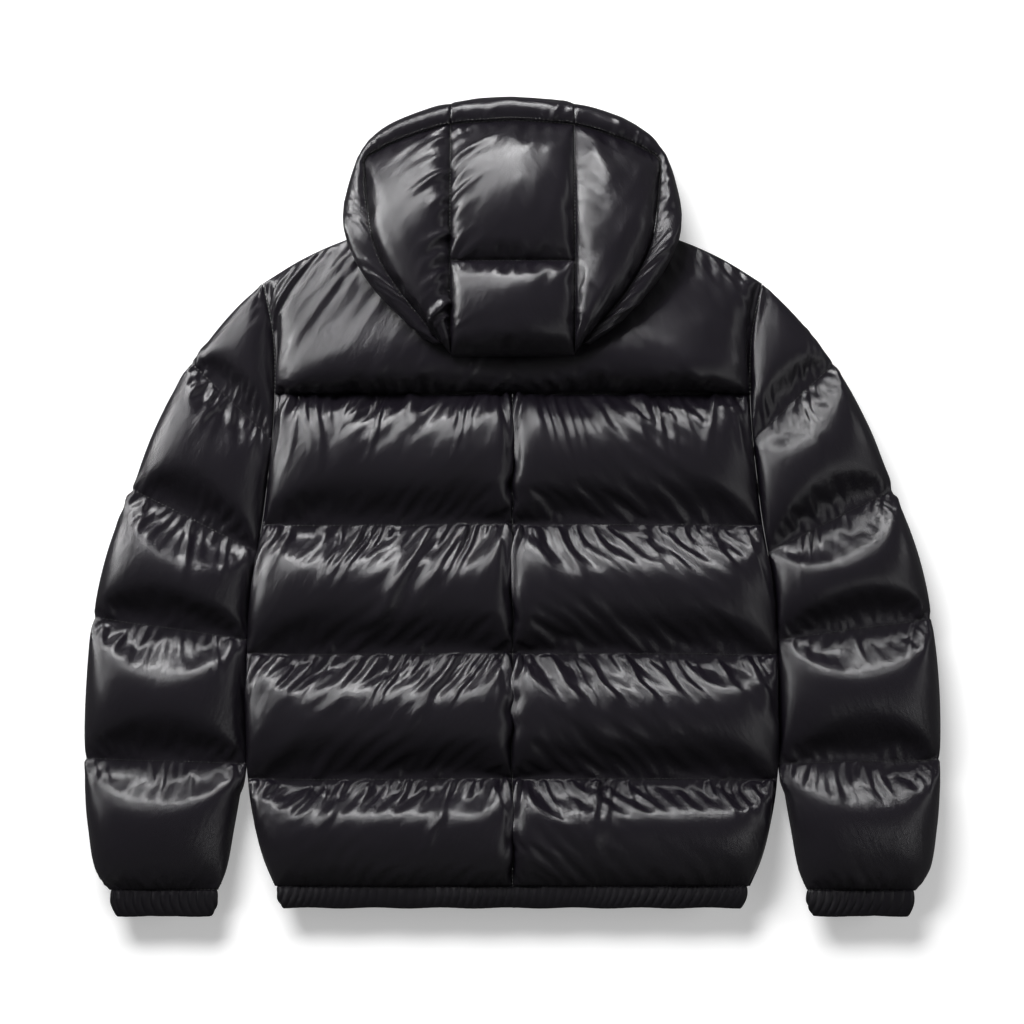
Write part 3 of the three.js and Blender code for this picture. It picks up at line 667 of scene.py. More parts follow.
yoke = inflate(yoke_form, (18, 58), seams_held(), yoke_limit, gathered(61, 1),
               leaning(62, 0.0, 0.04), creased(64, -0.5), 63, over(MID))
yoke = raised(yoke, yoke_folds(yoke, 350), over(MID), yoke_limit)
declare_pad(padded_piece("yoke_panel", yoke, MID + LAYER_GAP, shell_cloth), 0.7, "back_yoke")
stitch_lines += [(line, 1) for line in (yoke[0], yoke[:, 0], yoke[:, -1])]

# ---- Fronts --------------------------------------------------------------------------------------
# Each front has five stitched channels from the zip to the side seam. The jacket's weight presses the
# crowns of the channels flat on the table.
ZIP_HALF = 0.007
FRONT_CHANNELS = 5
FRONT_LINES = np.append(CHANNEL_LINES, 0.0)    # the top channel ends at FRONT_TOP instead of a line
FRONT_TOP = np.concatenate([[(0.0, 0.210), (0.040, 0.219), (0.074, 0.254)], BACK_TOP[3:]])
FRONT_LOFT = 0.040
TABLE = 0.0004         # lowest height of the cloth, just above the table


def front_form(side):
    """A front: arcs that hang down between the stitched lines, cut off level where they meet the table."""
    def form(n, m):
        k, share, full = channel_place(n, FRONT_CHANNELS)
        share, full = share[:, None], full[:, None]
        c = np.linspace(0, 1, 3 * m)[None, :]
        top = smooth_lookup(FRONT_TOP, ZIP_HALF + c * (SHOULDER_X - ZIP_HALF))
        low, high = FRONT_LINES[k][:, None], FRONT_LINES[k + 1][:, None]
        y = low + share * (np.where(k[:, None] == FRONT_CHANNELS - 1, top, high) - low)
        half = body_half(y) - SIDE_GAP
        x = ZIP_HALF + 0.0003 + c * (half - ZIP_HALF)
        z = MID - PINCH - FRONT_LOFT * full * rise(x - ZIP_HALF, SIDE_REACH) * rise(half - x, SIDE_REACH)
        z = z + EDGE_PINCH * (1 - rise(half - x, PINCH_REACH))
        return even(np.stack([x * side, y, np.maximum(z, TABLE)], -1), m)
    return form


def front_limit(side):
    def limit(p):
        np.clip(p[..., 2], TABLE, MID - 0.001, out=p[..., 2])
        edge = side_edge(p[..., 1])
        edge = edge + np.where(p[..., 1] < ARMPIT, OUT_OF_SEAM, -2 * SIDE_GAP)
        p[..., 0] = side * np.clip(p[..., 0] * side, ZIP_HALF + 0.0002, edge)
    return limit


for side, word in SIDES:
    cloth = inflate(front_form(side), (40, 16), seams_held(FRONT_CHANNELS), front_limit(side),
                    gathered(71 + side, FRONT_CHANNELS), leaning(74 + side, 0.03, 0.03),
                    creased(76 + 5 * side, 0.5, FRONT_CHANNELS), 77 + side, over(MID),
                    rounds=(60, 100, 100))
    piece = padded_piece(f"front_panel_{word}", cloth, MID - LAYER_GAP, shell_cloth)
    declare_pad(piece, 0.7, f"front_{word}")
    stitch_lines += [(row, -1) for row in stitched_rows(cloth, FRONT_CHANNELS)[:-1]]

# ---- Sleeves -------------------------------------------------------------------------------------
# A padded tube of five stitched channels, sewn into the armhole at its top and closed by one seam along
# its inner edge. It lies flat, so it is round at its outer fold and pinched wherever it is stitched.
SLEEVE_OUTER = np.array([  # place along the sleeve (whole numbers are stitched lines), x, y
    (0, 0.264, 0.236), (0.35, 0.289, 0.212), (0.7, 0.318, 0.178), (1, 0.338, 0.152),
    (1.5, 0.373, 0.088), (2, 0.400, 0.020), (2.5, 0.425, -0.048), (3, 0.440, -0.114),
    (3.5, 0.447, -0.190), (4, 0.449, -0.262), (4.5, 0.445, -0.335), (4.85, 0.436, -0.384),
    (5, 0.425, -0.400),
])
SLEEVE_INNER = np.array([  # the same for the seam along its inner edge
    (0, 0.2599, 0.227), (0.25, 0.2534, 0.195), (0.5, 0.251, 0.160), (0.75, 0.2501, 0.118),
    (1, 0.2531, 0.072), (1.5, 0.2586, 0.020), (2, 0.269, -0.046), (2.5, 0.2762, -0.092),
    (3, 0.2801, -0.138), (3.5, 0.2806, -0.205), (4, 0.2818, -0.268), (4.5, 0.292, -0.335),
    (4.85, 0.302, -0.384), (5, 0.309, -0.400),
])
SLEEVE_LOFT = 0.033
SLEEVE_CHANNELS = 5
SLEEVE_PINCH = 0.0032  # padding left under a stitched line, on each side
BODY_LEAVES = -0.300   # y where the sleeve parts from the body
SLEEVE_GAP = 0.0003    # between the sleeve and the body above the armpit
SLEEVE_OVERHANG = 0.0012       # how far the sleeve may hang over the body below it


def sleeve_form(side, seed):
    """Rings round the sleeve: each goes from the inner seam over the top to the outer fold and back
    below, and swells between the stitched lines."""
    def form(n, m):
        k, share, full = channel_place(n, SLEEVE_CHANNELS)
        at = k + share
        outer, inner = (np.stack([smooth_lookup(table, at, 1), smooth_lookup(table, at, 2)], -1)
                        for table in (SLEEVE_OUTER, SLEEVE_INNER))
        outer = outer - 0.0015 * (1 - full)[:, None] * [1, 0.3]
        beside_body = np.clip((inner[:, 1] - BODY_LEAVES) / 0.032, 0, 1)
        inner[:, 0] += beside_body * (side_edge(inner[:, 1]) + SIDE_GAP - inner[:, 0])
        turn = np.linspace(0, 2 * np.pi, 6 * m)[None, :]
        across = (1 - np.cos(turn)) / 2
        width = np.linalg.norm(outer - inner, axis=1)[:, None]
        spread = width / 0.16
        tall = SLEEVE_LOFT * full[:, None] * np.clip(spread, 0.2, 1)
        swell = rise(across * width, 0.055) ** 1.2 * rise((1 - across) * width, 0.042)
        z = MID + np.sign(np.sin(turn)) * (SLEEVE_PINCH * np.abs(np.sin(turn)) ** 0.5 + tall * swell)
        place = inner[:, None, :] + across[..., None] * (outer - inner)[:, None, :]
        on_line = (1 - full[:, None]) * np.sin(turn / 2) ** 2 * np.clip(spread - 0.4, 0, 1)
        y = place[..., 1] + wavy_line(seed, place[..., 0] * side, 0.002) * on_line
        return even(np.stack([place[..., 0] * side, y, np.maximum(z, TABLE)], -1), m)
    return form


def sleeve_limit(side):
    def limit(p):
        np.maximum(p[..., 2], TABLE, out=p[..., 2])
        edge = side_edge(p[..., 1]) + np.where(p[..., 1] > ARMPIT, SLEEVE_GAP, -SLEEVE_OVERHANG)
        p[..., 0] = side * np.maximum(p[..., 0] * side, edge)
    return limit


def tube_core(p):
    return np.broadcast_to(p.mean(axis=1, keepdims=True), p.shape)


def tube_piece(name, outer, material):
    """A closed tube: its last column is its first, and each end is one flat face."""
    rows, columns = outer.shape[0], outer.shape[1] - 1
    faces = grid_faces(rows, columns, wrap=True)
    smooth_count = len(faces)
    faces += [list(range(columns))[::-1], list(range((rows - 1) * columns, rows * columns))]
    faces = turned_out(faces, outer, tube_core(outer))
    return make_piece(name, outer[:, :-1].reshape(-1, 3), faces, smooth_count, material)


# Folds round a sleeve, a row for each channel from the shoulder down: pitch, length and height of those
# that come down from its upper seam, then of those that rise from its lower seam.
SLEEVE_FOLDS = (
    (0.016, 0.055, 0.0016, 0.0110, 0.050, 0.0013), (0.015, 0.070, 0.0022, 0.0100, 0.040, 0.0011),
    (0.013, 0.060, 0.0022, 0.0095, 0.030, 0.0009), (0.012, 0.044, 0.0018, 0.0095, 0.026, 0.0007),
    (0.011, 0.040, 0.0016, 0.0095, 0.036, 0.0010),
)


def sleeve_folds(p, seed):
    """Folds from both seams of each channel. A grid's low edge is its upper seam, since the rows run
    down the sleeve."""
    out = np.zeros(p.shape[:2])
    for k, (part, sizes) in enumerate(zip(channel_rows(p, SLEEVE_CHANNELS), SLEEVE_FOLDS)):
        for number, edge, lean, (pitch, *rest) in ((0, "low", 0.1, sizes[:3]), (5, "top", 0.0, sizes[3:])):
            out[part] += seam_folds(seed + 10 * k + number, *seam_frame(p[part], edge), pitch, lean, *rest)
    return out


for side, word in SIDES:
    cloth = inflate(sleeve_form(side, 81 + side), (65, 42), seams_held(SLEEVE_CHANNELS),
                    sleeve_limit(side),
                    gathered(84 + side, SLEEVE_CHANNELS, at_seam=0.035, down=0.003, at_edge=0.01),
                    leaning(87 + side, 0.0, 0.03), creased(92 + 5 * side, 0.1, SLEEVE_CHANNELS),
                    90 + side, tube_core)
    cloth = raised(cloth, sleeve_folds(cloth, 400 + 200 * (side + 1)), tube_core, sleeve_limit(side))
    declare_pad(tube_piece(f"sleeve_{word}_padded", cloth, shell_cloth), 0.7, f"sleeve_{word}")
    fold_line = cloth.shape[1] // 2
    for row in stitched_rows(cloth, SLEEVE_CHANNELS)[1:]:
        stitch_lines += [(row[:fold_line], 1), (row[fold_line:], -1)]

# ---- Hood ----------------------------------------------------------------------------------------
# Padded like the body: a centre of crown and nape, two sides, and a brim round the face opening. The
# hood lies with its opening down. Every seam draws its panels in, so each swells between its seams.
BRIM = np.array([  # place from the top centre round to the nape, x, y, then x, y and z of its seam
    (0, 0.0, 0.429, 0.0, 0.406, 0.056), (1, 0.0645, 0.4235, 0.0645, 0.401, 0.056),
    (2, 0.118, 0.407, 0.113, 0.387, 0.053), (3, 0.145, 0.390, 0.140, 0.375, 0.051),
    (4, 0.159, 0.372, 0.154, 0.364, 0.051), (5, 0.1675, 0.348, 0.1535, 0.340, 0.060),
    (6, 0.173, 0.314, 0.1505, 0.312, 0.074), (7, 0.1715, 0.286, 0.146, 0.284, 0.087),
    (8, 0.1595, 0.255, 0.135, 0.254, 0.092), (9, 0.137, 0.222, 0.117, 0.225, 0.094),
    (10, 0.106, 0.191, 0.093, 0.195, 0.093), (11, 0.0795, 0.1705, 0.073, 0.171, 0.088),
])
BRIM_CORNER, BRIM_END = 4, 11
HOOD_SEAM_X = 0.0645
HOOD_RIDGE = np.array([  # y, height of the seam between the hood's centre and its side
    (0.158, 0.084), (0.170, 0.095), (0.195, 0.103), (0.225, 0.103), (0.256, 0.098),
    (0.290, 0.098), (0.330, 0.091), (0.370, 0.075), (0.401, 0.056),
])
HOOD_CROSS_SEAM, NAPE_EDGE = 0.256, 0.158
RIDGE_TOP = 0.4007     # y where the ridges end, just below the brim's seam
CENTRE_EDGE = HOOD_SEAM_X - SEAM_GAP
HOOD_LOFT, HOOD_WALL = 0.019, 0.026
YOKE_TOP = 0.0705      # where the hood lies on the yoke
HOOD_LOWEST = 0.03     # lowest height of the cloth of its centre and sides
ON_YOKE = 0.262        # y above which the inner face leaves the yoke
OFF_YOKE_OVER = 0.042  # over this distance


def ridge(y):
    return smooth_lookup(HOOD_RIDGE, y)


def brim_at(at, side):
    """Outline point and seam point of the brim at each place."""
    rim = np.stack([side * smooth_lookup(BRIM, at, 1), smooth_lookup(BRIM, at, 2), 0 * at], -1)
    seam = np.stack([side * smooth_lookup(BRIM, at, 3), smooth_lookup(BRIM, at, 4),
                     smooth_lookup(BRIM, at, 5)], -1)
    return rim, seam


def rounded(rows, times=3):
    """Each row's corners cut off again and again, with the two ends kept."""
    for _ in range(times):
        a, b = rows[:, :-1], rows[:, 1:]
        cut = np.stack([0.75 * a + 0.25 * b, 0.25 * a + 0.75 * b], 2).reshape(len(rows), -1, 3)
        rows = np.concatenate([rows[:, :1], cut, rows[:, -1:]], 1)
    return rows


def two_faced_piece(name, outer, inner, material):
    """A pad between two grids of the same size, closed round the edge."""
    rows, columns = outer.shape[:2]
    count = rows * columns
    edge = border(rows, columns)
    nxt = np.roll(edge, -1)
    faces = grid_faces(rows, columns)
    smooth_count = len(faces)
    faces += [f[::-1] for f in grid_faces(rows, columns, start=count)]
    faces += np.stack([nxt, edge, count + edge, count + nxt], -1).tolist()
    return make_piece(name, np.concatenate([outer.reshape(-1, 3), inner.reshape(-1, 3)]),
                      turned_out(faces, outer, inner), smooth_count, material)


def hood_inner(p, full):
    """One wall's thickness under the outer face, but level on the yoke behind the neck."""
    hollow = p[..., 2] - PINCH - full * (HOOD_WALL - PINCH)
    t = np.clip((p[..., 1] - ON_YOKE) / OFF_YOKE_OVER, 0, 1)
    on_yoke = 1 - t * t * (3 - 2 * t)
    out = p.copy()
    out[..., 2] = hollow + (YOKE_TOP - hollow) * on_yoke
    return out


def hood_form(top, bottom, left, right):
    """A surface stretched between four seams (the sum of its two ruled surfaces less the bilinear one),
    swollen in the middle. With faces, the inner face comes with it."""
    def form(n, m, faces=False):
        u, v = np.linspace(0, 1, m)[None, :, None], np.linspace(0, 1, n)[:, None, None]
        a, b = top(u[0, :, 0])[None], bottom(u[0, :, 0])[None]
        c, d = left(v[:, 0, 0])[:, None], right(v[:, 0, 0])[:, None]
        flat = (a * (1 - v) + b * v + c * (1 - u) + d * u
                - (a[:, :1] * (1 - u) + a[:, -1:] * u) * (1 - v) - (b[:, :1] * (1 - u) + b[:, -1:] * u) * v)
        swell = [np.clip(1 - (2 * t[..., 0] - 1) ** 2, 0, 1) ** 0.8 for t in (u, v)]
        full = (swell[0] * swell[1]) ** 0.7
        p = flat.copy()
        p[..., 2] += HOOD_LOFT * full - 0.002 * (1 - full) ** 4
        return (p, hood_inner(p, full)) if faces else p
    return form


def under_hood(p):
    return p - [0, 0, 0.02]


def line_between(p, q):
    """The straight line from p to q, or along the ridge when both heights are None."""
    def line(t):
        x, y = p[0] + (q[0] - p[0]) * t, p[1] + (q[1] - p[1]) * t
        z = ridge(y) if p[2] is None else p[2] + (q[2] - p[2]) * t
        return np.stack([x, y, z], -1)
    return line


def crown_top(u):
    x = (2 * u - 1) * CENTRE_EDGE
    return brim_at(np.abs(x) / HOOD_SEAM_X, np.sign(x))[1] - [0, 2 * SEAM_GAP, 0]


def across_hood(y):
    """The line from one ridge to the other at y."""
    return line_between((-CENTRE_EDGE, y, None), (CENTRE_EDGE, y, None))


def centre_panel(top, top_y, low_y):
    """A panel of the hood's centre, between both ridges from top_y down to low_y."""
    ridges = [line_between((x, top_y, None), (x, low_y, None)) for x in (-CENTRE_EDGE, CENTRE_EDGE)]
    return hood_form(top, across_hood(low_y), *ridges)


over_seam, under_seam = HOOD_CROSS_SEAM + SEAM_GAP, HOOD_CROSS_SEAM - SEAM_GAP
hood_panels = {        # each with its rows and columns at the coarsest level
    "hood_crown": (centre_panel(crown_top, RIDGE_TOP, over_seam), (15, 13)),
    "hood_nape": (centre_panel(across_hood(under_seam), under_seam, NAPE_EDGE), (11, 13)),
}
side_x, tip_y = HOOD_SEAM_X + SEAM_GAP, NAPE_EDGE + 0.003
for side, word in SIDES:

    def over_face(u, side=side):
        seam = brim_at(1 + 3 * u, 1)[1]
        return (seam + np.stack([0.00015 - 0.0006 * u, -0.0003 + 0 * u, 0 * u], -1)) * [side, 1, 1]

    def beside_face(v, side=side):
        seam = brim_at(BRIM_CORNER + (BRIM_END - BRIM_CORNER) * v, 1)[1]
        return (seam + np.stack([-0.00045 - 0.00015 * v, -0.0003 - 0.0003 * v, 0 * v], -1)) * [side, 1, 1]

    tip = line_between((side_x * side, tip_y, float(ridge(tip_y))), (0.0724 * side, 0.1704, 0.088))
    seam_line = line_between((side_x * side, RIDGE_TOP, None), (side_x * side, tip_y, None))
    hood_panels[f"hood_side_{word}"] = (hood_form(over_face, tip, seam_line, beside_face), (24, 10))


def off_layer(floor):
    """A limit that keeps the cloth at or above the height floor."""
    def limit(p):
        np.maximum(p[..., 2], floor, out=p[..., 2])
    return limit


# Folds of the hood's panels: edge, pitch, lean, length, height. A side's left edge is the one nearest
# the middle, and a panel's low edge is its first row, towards the brim.
HOOD_FOLDS = {
    "crown": (("left", 0.016, -0.6, 0.080, 0.0026), ("left", 0.008, -0.4, 0.030, 0.0015),
              ("right", 0.008, 0.2, 0.016, 0.0011), ("low", 0.014, 0.2, 0.020, 0.0008),
              ("top", 0.012, 0.0, 0.016, 0.0007)),
    "nape": (("low", 0.012, -0.4, 0.030, 0.0013), ("left", 0.012, -0.4, 0.028, 0.0011),
             ("right", 0.012, 0.2, 0.014, 0.0008), ("top", 0.012, 0.0, 0.012, 0.0005)),
    "side": (("left", 0.018, 0.5, 0.060, 0.0030), ("left", 0.008, 0.4, 0.026, 0.0014),
             ("right", 0.010, 0.1, 0.020, 0.0008), ("low", 0.012, 0.0, 0.022, 0.0008)),
}
# Single large folds, that cross the seam between the crown and the left side: panel, distance down the
# seam, lean, length, width, height.
HOOD_LONG_FOLDS = (
    ("hood_crown", 0.060, -0.55, 0.055, 0.0036, 0.0046),
    ("hood_crown", 0.020, -0.45, 0.042, 0.0032, 0.0034),
    ("hood_crown", 0.098, -0.25, 0.035, 0.0050, 0.0030),
    ("hood_side_left", 0.060, 0.50, 0.050, 0.0036, 0.0046),
    ("hood_side_left", 0.125, 0.60, 0.035, 0.0036, 0.0036),
    ("hood_side_left", 0.150, 0.30, 0.040, 0.0040, 0.0030),
)
CALM_SIDE = 0.35       # the right side's folds are this much of the left's
for number, (name, (form, shape)) in enumerate(hood_panels.items()):
    cloth = inflate(form, shape, seams_held(), off_layer(HOOD_LOWEST),
                    gathered(101 + number, 1, along=0.006, at_seam=0.03, at_edge=0.03, waves=2.5),
                    leaning(111 + number, 0.0, 0.03), creased(141 + 5 * number, 0.4, depth=0.0004),
                    121 + number, under_hood)
    folds = np.zeros(cloth.shape[:2])
    for place, (edge, *sizes) in enumerate(HOOD_FOLDS[name.split("_")[1]]):
        folds += seam_folds(700 + 10 * number + place, *seam_frame(cloth, edge), *sizes)
    if name == "hood_side_right":
        folds *= CALM_SIDE
    for panel, *sizes in HOOD_LONG_FOLDS:
        if panel == name:
            folds += fold(*seam_frame(cloth, "left"), *sizes)
    cloth = raised(cloth, folds, under_hood, off_layer(HOOD_LOWEST))
    _, inner = form(*cloth.shape[:2], faces=True)
    declare_pad(two_faced_piece(f"{name}_padded", cloth, inner, shell_cloth), 0.6, name)
    stitch_lines.append((cloth[0], 1))
    if "side" in name:
        stitch_lines += [(cloth[:, 0], 1), (cloth[:, -1], 1)]

LIFT_FROM, LIFT_TO = 0.335, 0.292      # y where the brim leaves the table and where it is over the shoulder
BRIM_TUCK, BRIM_FOOT = 0.009, 0.028    # from the outline to the brim's outer and inner foot
BRIM_PUCKERS = (0.010, 0.3, 0.028, 0.0022)     # along its seam: pitch, lean, length, height
CENTRE_END, SIDE_START = 0.996, 1.004  # places round the brim where its three pieces meet


def brim_form(first, last):
    """Sections of the brim: a D that stands on its foot, from its seam over its bulge to the foot."""
    def form(n, m, faces=False):
        at = np.linspace(first, last, n)
        rim, seam = brim_at(np.abs(at) if first < 0 else at, np.sign(at) if first < 0 else 1)
        t = np.clip((LIFT_FROM - rim[:, 1]) / (LIFT_FROM - LIFT_TO), 0, 1)
        floor = TABLE + YOKE_TOP * t * t * (3 - 2 * t)
        wide = np.linalg.norm((rim - seam)[:, :2], axis=1)
        tall = seam[:, 2] - floor

        def point(share, z):
            out = rim + (seam - rim) * np.broadcast_to(share, wide.shape)[:, None]
            out[:, 2] = z
            return out
        outer = [point(1 - SEAM_GAP / wide, seam[:, 2]), point(0.62, floor + tall * 1.10),
                 point(0.04, floor + tall * 1.02), point(-0.14, floor + tall * 0.45),
                 point(0.02, floor + tall * 0.06),
                 point(np.minimum(BRIM_TUCK, wide * 0.35) / wide, floor)]
        inner = [point(1 - SEAM_GAP / wide, seam[:, 2] - np.minimum(PINCH, tall * 0.3)),
                 point(0.98, floor + tall * 0.6), point(0.96, floor + tall * 0.4),
                 point(0.96, floor + tall * 0.2), point(np.minimum(BRIM_FOOT, wide * 0.95) / wide, floor)]
        p = even(rounded(np.stack(outer, 1)), m)
        return (p, even(np.stack(inner, 1), m)) if faces else p
    return form


for number, (word, first, last, rows) in enumerate((
        ("centre", -CENTRE_END, CENTRE_END, 14), ("right", SIDE_START, BRIM_END, 32),
        ("left", SIDE_START, BRIM_END, 32))):
    form = brim_form(first, last)
    if word == "left":
        def form(n, m, faces=False, right=form):
            made = right(n, m, faces)
            return tuple(f * [-1, 1, 1] for f in made) if faces else made * [-1, 1, 1]

    def brim_core(p, form=form):
        return form(*p.shape[:2], faces=True)[1]
    cloth = inflate(form, (rows, 8), seams_held(), off_layer(TABLE),
                    gathered(131 + number, 1, along=0.004, at_seam=0.01, at_edge=0.02, waves=4.0),
                    leaning(134 + number, 0.0, 0.03), creased(171 + 5 * number, 0.3, depth=0.0003),
                    137 + number, brim_core)
    puckers = seam_folds(760 + number, *seam_frame(cloth, "left"), *BRIM_PUCKERS)
    cloth = raised(cloth, puckers, brim_core, off_layer(TABLE))
    name = "brim_" + word
    declare_pad(two_faced_piece(f"{name}_padded", cloth, brim_core(cloth), shell_cloth), 0.6, name)
    stitch_lines.append((cloth[:, 1], 1))

# ---- Cuffs and hem band --------------------------------------------------------------------------
# Nylon folded over elastic and let go: the elastic draws the cloth into fine uneven pleats that lean
# a little. The hem band runs round the body from one side of the zip to the other.
BAND_HALF = 0.0046     # half of a band's thickness where it lies flat
BAND_WALL = 0.0036     # from the path of a band to its inner face
PLEAT = 0.0088         # mean width of a pleat
PLEAT_DEPTH = 0.0022

band_cloth = cloth_material("elastic band nylon", (0.0036, 0.0031, 0.0045), (0.0055, 0.0048, 0.0066),
                            (0.45, 0.55), 220.0, 1400.0, 0.00014, specular=0.3)


def pleated_band(seed, path_at, y_top, y_low, rows):
    """Outer and inner face of a band. path_at(t) gives, at the share t of the way down it, the path
    round it and its normal as x and z, and the distance along it. The outer face is pushed out along
    the normal by pleats: a rounded saw of uneven width, deepest away from the sewn edge, that leans as
    it goes down."""
    t = np.linspace(0, 1, rows)[:, None]
    path, normal, along = path_at(t)
    rng = np.random.default_rng(seed)
    phase = along / PLEAT
    for k, size in ((7.0, 0.8), (19.0, 0.5), (43.0, 0.35)):
        phase = phase + size * np.sin(along * k + rng.uniform(0, 6.3))
    phase = phase + 0.9 * t * (0.5 + 0.5 * np.sin(along * 11 + rng.uniform(0, 6.3)))
    saw = phase - np.floor(phase)
    ridge_shape = np.sin(np.pi * saw ** 0.75) ** 0.8
    depth = PLEAT_DEPTH * (0.75 + 0.35 * np.sin(along * 31 + rng.uniform(0, 6.3)))
    depth = depth * (0.45 + 0.55 * np.sin(np.pi * np.clip(t * 0.9 + 0.08, 0, 1)))
    shape = np.sin(np.pi * np.clip(t, 0.0, 1.0)) ** 0.55
    lift = depth * ridge_shape - EDGE_PINCH * (1 - shape)
    y = y_top + (y_low - y_top) * t + 0.0006 * np.sin(along * 90 + rng.uniform(0, 6.3)) * t
    outer = np.stack([path[0] + normal[0] * lift, y + 0 * along, path[1] + normal[1] * lift], -1)
    inner = np.stack([path[0] - normal[0] * BAND_WALL, y + 0 * along, path[1] - normal[1] * BAND_WALL], -1)
    return outer, inner


def flat_ring(low, high, columns, start=0.0, stop=1.0):
    """A path round a flattened ring between x = low(t) and high(t): two flats joined by half circles. It
    starts in the middle of the underside and goes round the end at high, over the top and round the
    end at low. start and stop are shares of the way round."""
    def path_at(t):
        r = BAND_HALF
        a, b = low(t) + r, high(t) - r
        flat, half_circle = b - a, np.pi * r
        s = (start + (stop - start) * np.linspace(0, 1, columns))[None, :] * (2 * flat + 2 * half_circle)
        ends = (flat / 2, flat / 2 + half_circle, 1.5 * flat + half_circle, 1.5 * flat + 2 * half_circle)
        stretch = [s < end for end in ends]
        turn1, turn2 = (s - ends[0]) / r, (s - ends[2]) / r
        none = 0 * s
        x = np.select(stretch, [(a + b) / 2 + s, b + r * np.sin(turn1), b - (s - ends[1]),
                                a - r * np.sin(turn2)], a + (s - ends[3]))
        nx = np.select(stretch, [none, np.sin(turn1), none, -np.sin(turn2)], 0)
        nz = np.select(stretch, [none - 1, -np.cos(turn1), none + 1, np.cos(turn2)], -1)
        return (x, MID + r * nz), (nx, nz), s
    return path_at


def ring_piece(name, outer, inner, material):
    """A closed loop of cloth: outer and inner faces joined at both edges."""
    rows, columns = outer.shape[:2]
    count = rows * columns
    c = np.arange(columns)
    d = (c + 1) % columns
    faces = grid_faces(rows, columns, wrap=True)
    smooth_count = len(faces)
    faces += [f[::-1] for f in grid_faces(rows, columns, start=count, wrap=True)]
    last = count - columns
    faces += np.stack([d, c, count + c, count + d], -1).tolist()
    faces += np.stack([last + c, last + d, count + last + d, count + last + c], -1).tolist()
    return make_piece(name, np.concatenate([outer.reshape(-1, 3), inner.reshape(-1, 3)]),
                      turned_out(faces, outer, inner), smooth_count, material)


CUFF_X = np.array([     # share of the way down a cuff, then x of its inner and of its outer end
    (0, 0.3092, 0.4228), (0.5, 0.3106, 0.4216), (1, 0.3145, 0.4175),
])
CUFF_TOP, CUFF_EDGE = -0.4004, -0.4281
cuff_path = flat_ring(lambda t: smooth_lookup(CUFF_X, t, 1), lambda t: smooth_lookup(CUFF_X, t, 2), 360)
for side, word in SIDES:
    outer, inner = (face[:, :-1] * [side, 1, 1]
                    for face in pleated_band(151 + side, cuff_path, CUFF_TOP, CUFF_EDGE, 18))
    cuff = ring_piece(f"cuff_{word}_gathered", outer, inner, band_cloth)
    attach(cuff, "jacket")
    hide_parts(f"cuff_{word}")

HEM_X = np.array([(0, 0.2476), (0.5, 0.2455), (1, 0.2418)])     # share of the way down, half width
HEM_TOP, HEM_EDGE = -0.39655, -0.4195
zip_share = ZIP_HALF / (4 * HEM_X[1, 1])       # of the way round, from the zip's middle to its edge
hem_path = flat_ring(lambda t: -smooth_lookup(HEM_X, t), lambda t: smooth_lookup(HEM_X, t), 1100,
                     zip_share, 1 - zip_share)
outer, inner = pleated_band(161, hem_path, HEM_TOP, HEM_EDGE, 16)
hem = two_faced_piece("hem_band_gathered", outer, inner, band_cloth)
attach(hem, "jacket")
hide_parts("hem_band")

# ---- Stitching -----------------------------------------------------------------------------------
# Black polyester thread along every stitched line: each stitch is a short round-ended lump that lies
# in the seam, a little proud of the cloth.
STITCH_PITCH = 0.0042
STITCH_LENGTH = 0.0032
STITCH_SIDES = 5
STITCH_RINGS = (       # share of the length, share of the thread's radius, lift in radii
    (-0.5, 0.35, 0.1), (-0.3, 1, 0.7), (0.3, 1, 0.7), (0.5, 0.35, 0.1),
)
THREAD = 0.00042       # the thread's radius

thread = cloth_material("polyester thread", (0.012, 0.012, 0.012), (0.02, 0.02, 0.02),
                        (0.35, 0.5), 400.0, 4000.0, 0.00005)


def ring_angles(sides):
    return np.linspace(0, 2 * np.pi, sides, endpoint=False)


def end_caps(sides, count):
    """The two end faces of a small bead of count points, in rings of so many sides."""
    return [list(range(sides))[::-1], list(range(count - sides, count))]


def stitches(name, lines, material):
    """One mesh of many stitches: a few rings of points along each, thin at both ends."""
    places, tangents, ups = [], [], []
    for path, up in lines:
        length = np.concatenate([[0], np.cumsum(np.linalg.norm(np.diff(path, axis=0), axis=1))])
        count = int(length[-1] / STITCH_PITCH)
        if count < 2:
            continue
        at = (np.arange(count) + 0.5) * STITCH_PITCH
        here = np.stack([np.interp(at, length, path[:, k]) for k in range(3)], -1)
        ahead = np.stack([np.interp(at + 0.001, length, path[:, k]) for k in range(3)], -1)
        direction = ahead - here
        places.append(here)
        tangents.append(direction / (np.linalg.norm(direction, axis=1, keepdims=True) + 1e-12))
        ups.append(np.broadcast_to([0, 0, up], here.shape))
    here, along, up = (np.concatenate(part) for part in (places, tangents, ups))
    beside = np.cross(along, up)
    beside /= np.linalg.norm(beside, axis=1, keepdims=True) + 1e-12
    up = np.cross(beside, along)
    template = np.array([(x, THREAD * r * math.cos(a), THREAD * r * math.sin(a) + THREAD * lift)
                         for x, r, lift in STITCH_RINGS for a in ring_angles(STITCH_SIDES)])
    template[:, 0] *= STITCH_LENGTH
    points = (here[:, None] + template[None, :, :1] * along[:, None]
              + template[None, :, 1:2] * beside[:, None] + template[None, :, 2:] * up[:, None])
    one = np.array(grid_faces(len(STITCH_RINGS), STITCH_SIDES, wrap=True))
    base = (np.arange(len(here)) * len(template))[:, None, None]
    faces = (one[None] + base).reshape(-1, 4).tolist()
    caps = np.array(end_caps(STITCH_SIDES, len(template)))
    faces += (caps[None] + base).reshape(-1, STITCH_SIDES).tolist()
    return make_piece(name, points.reshape(-1, 3), faces, len(faces), material)


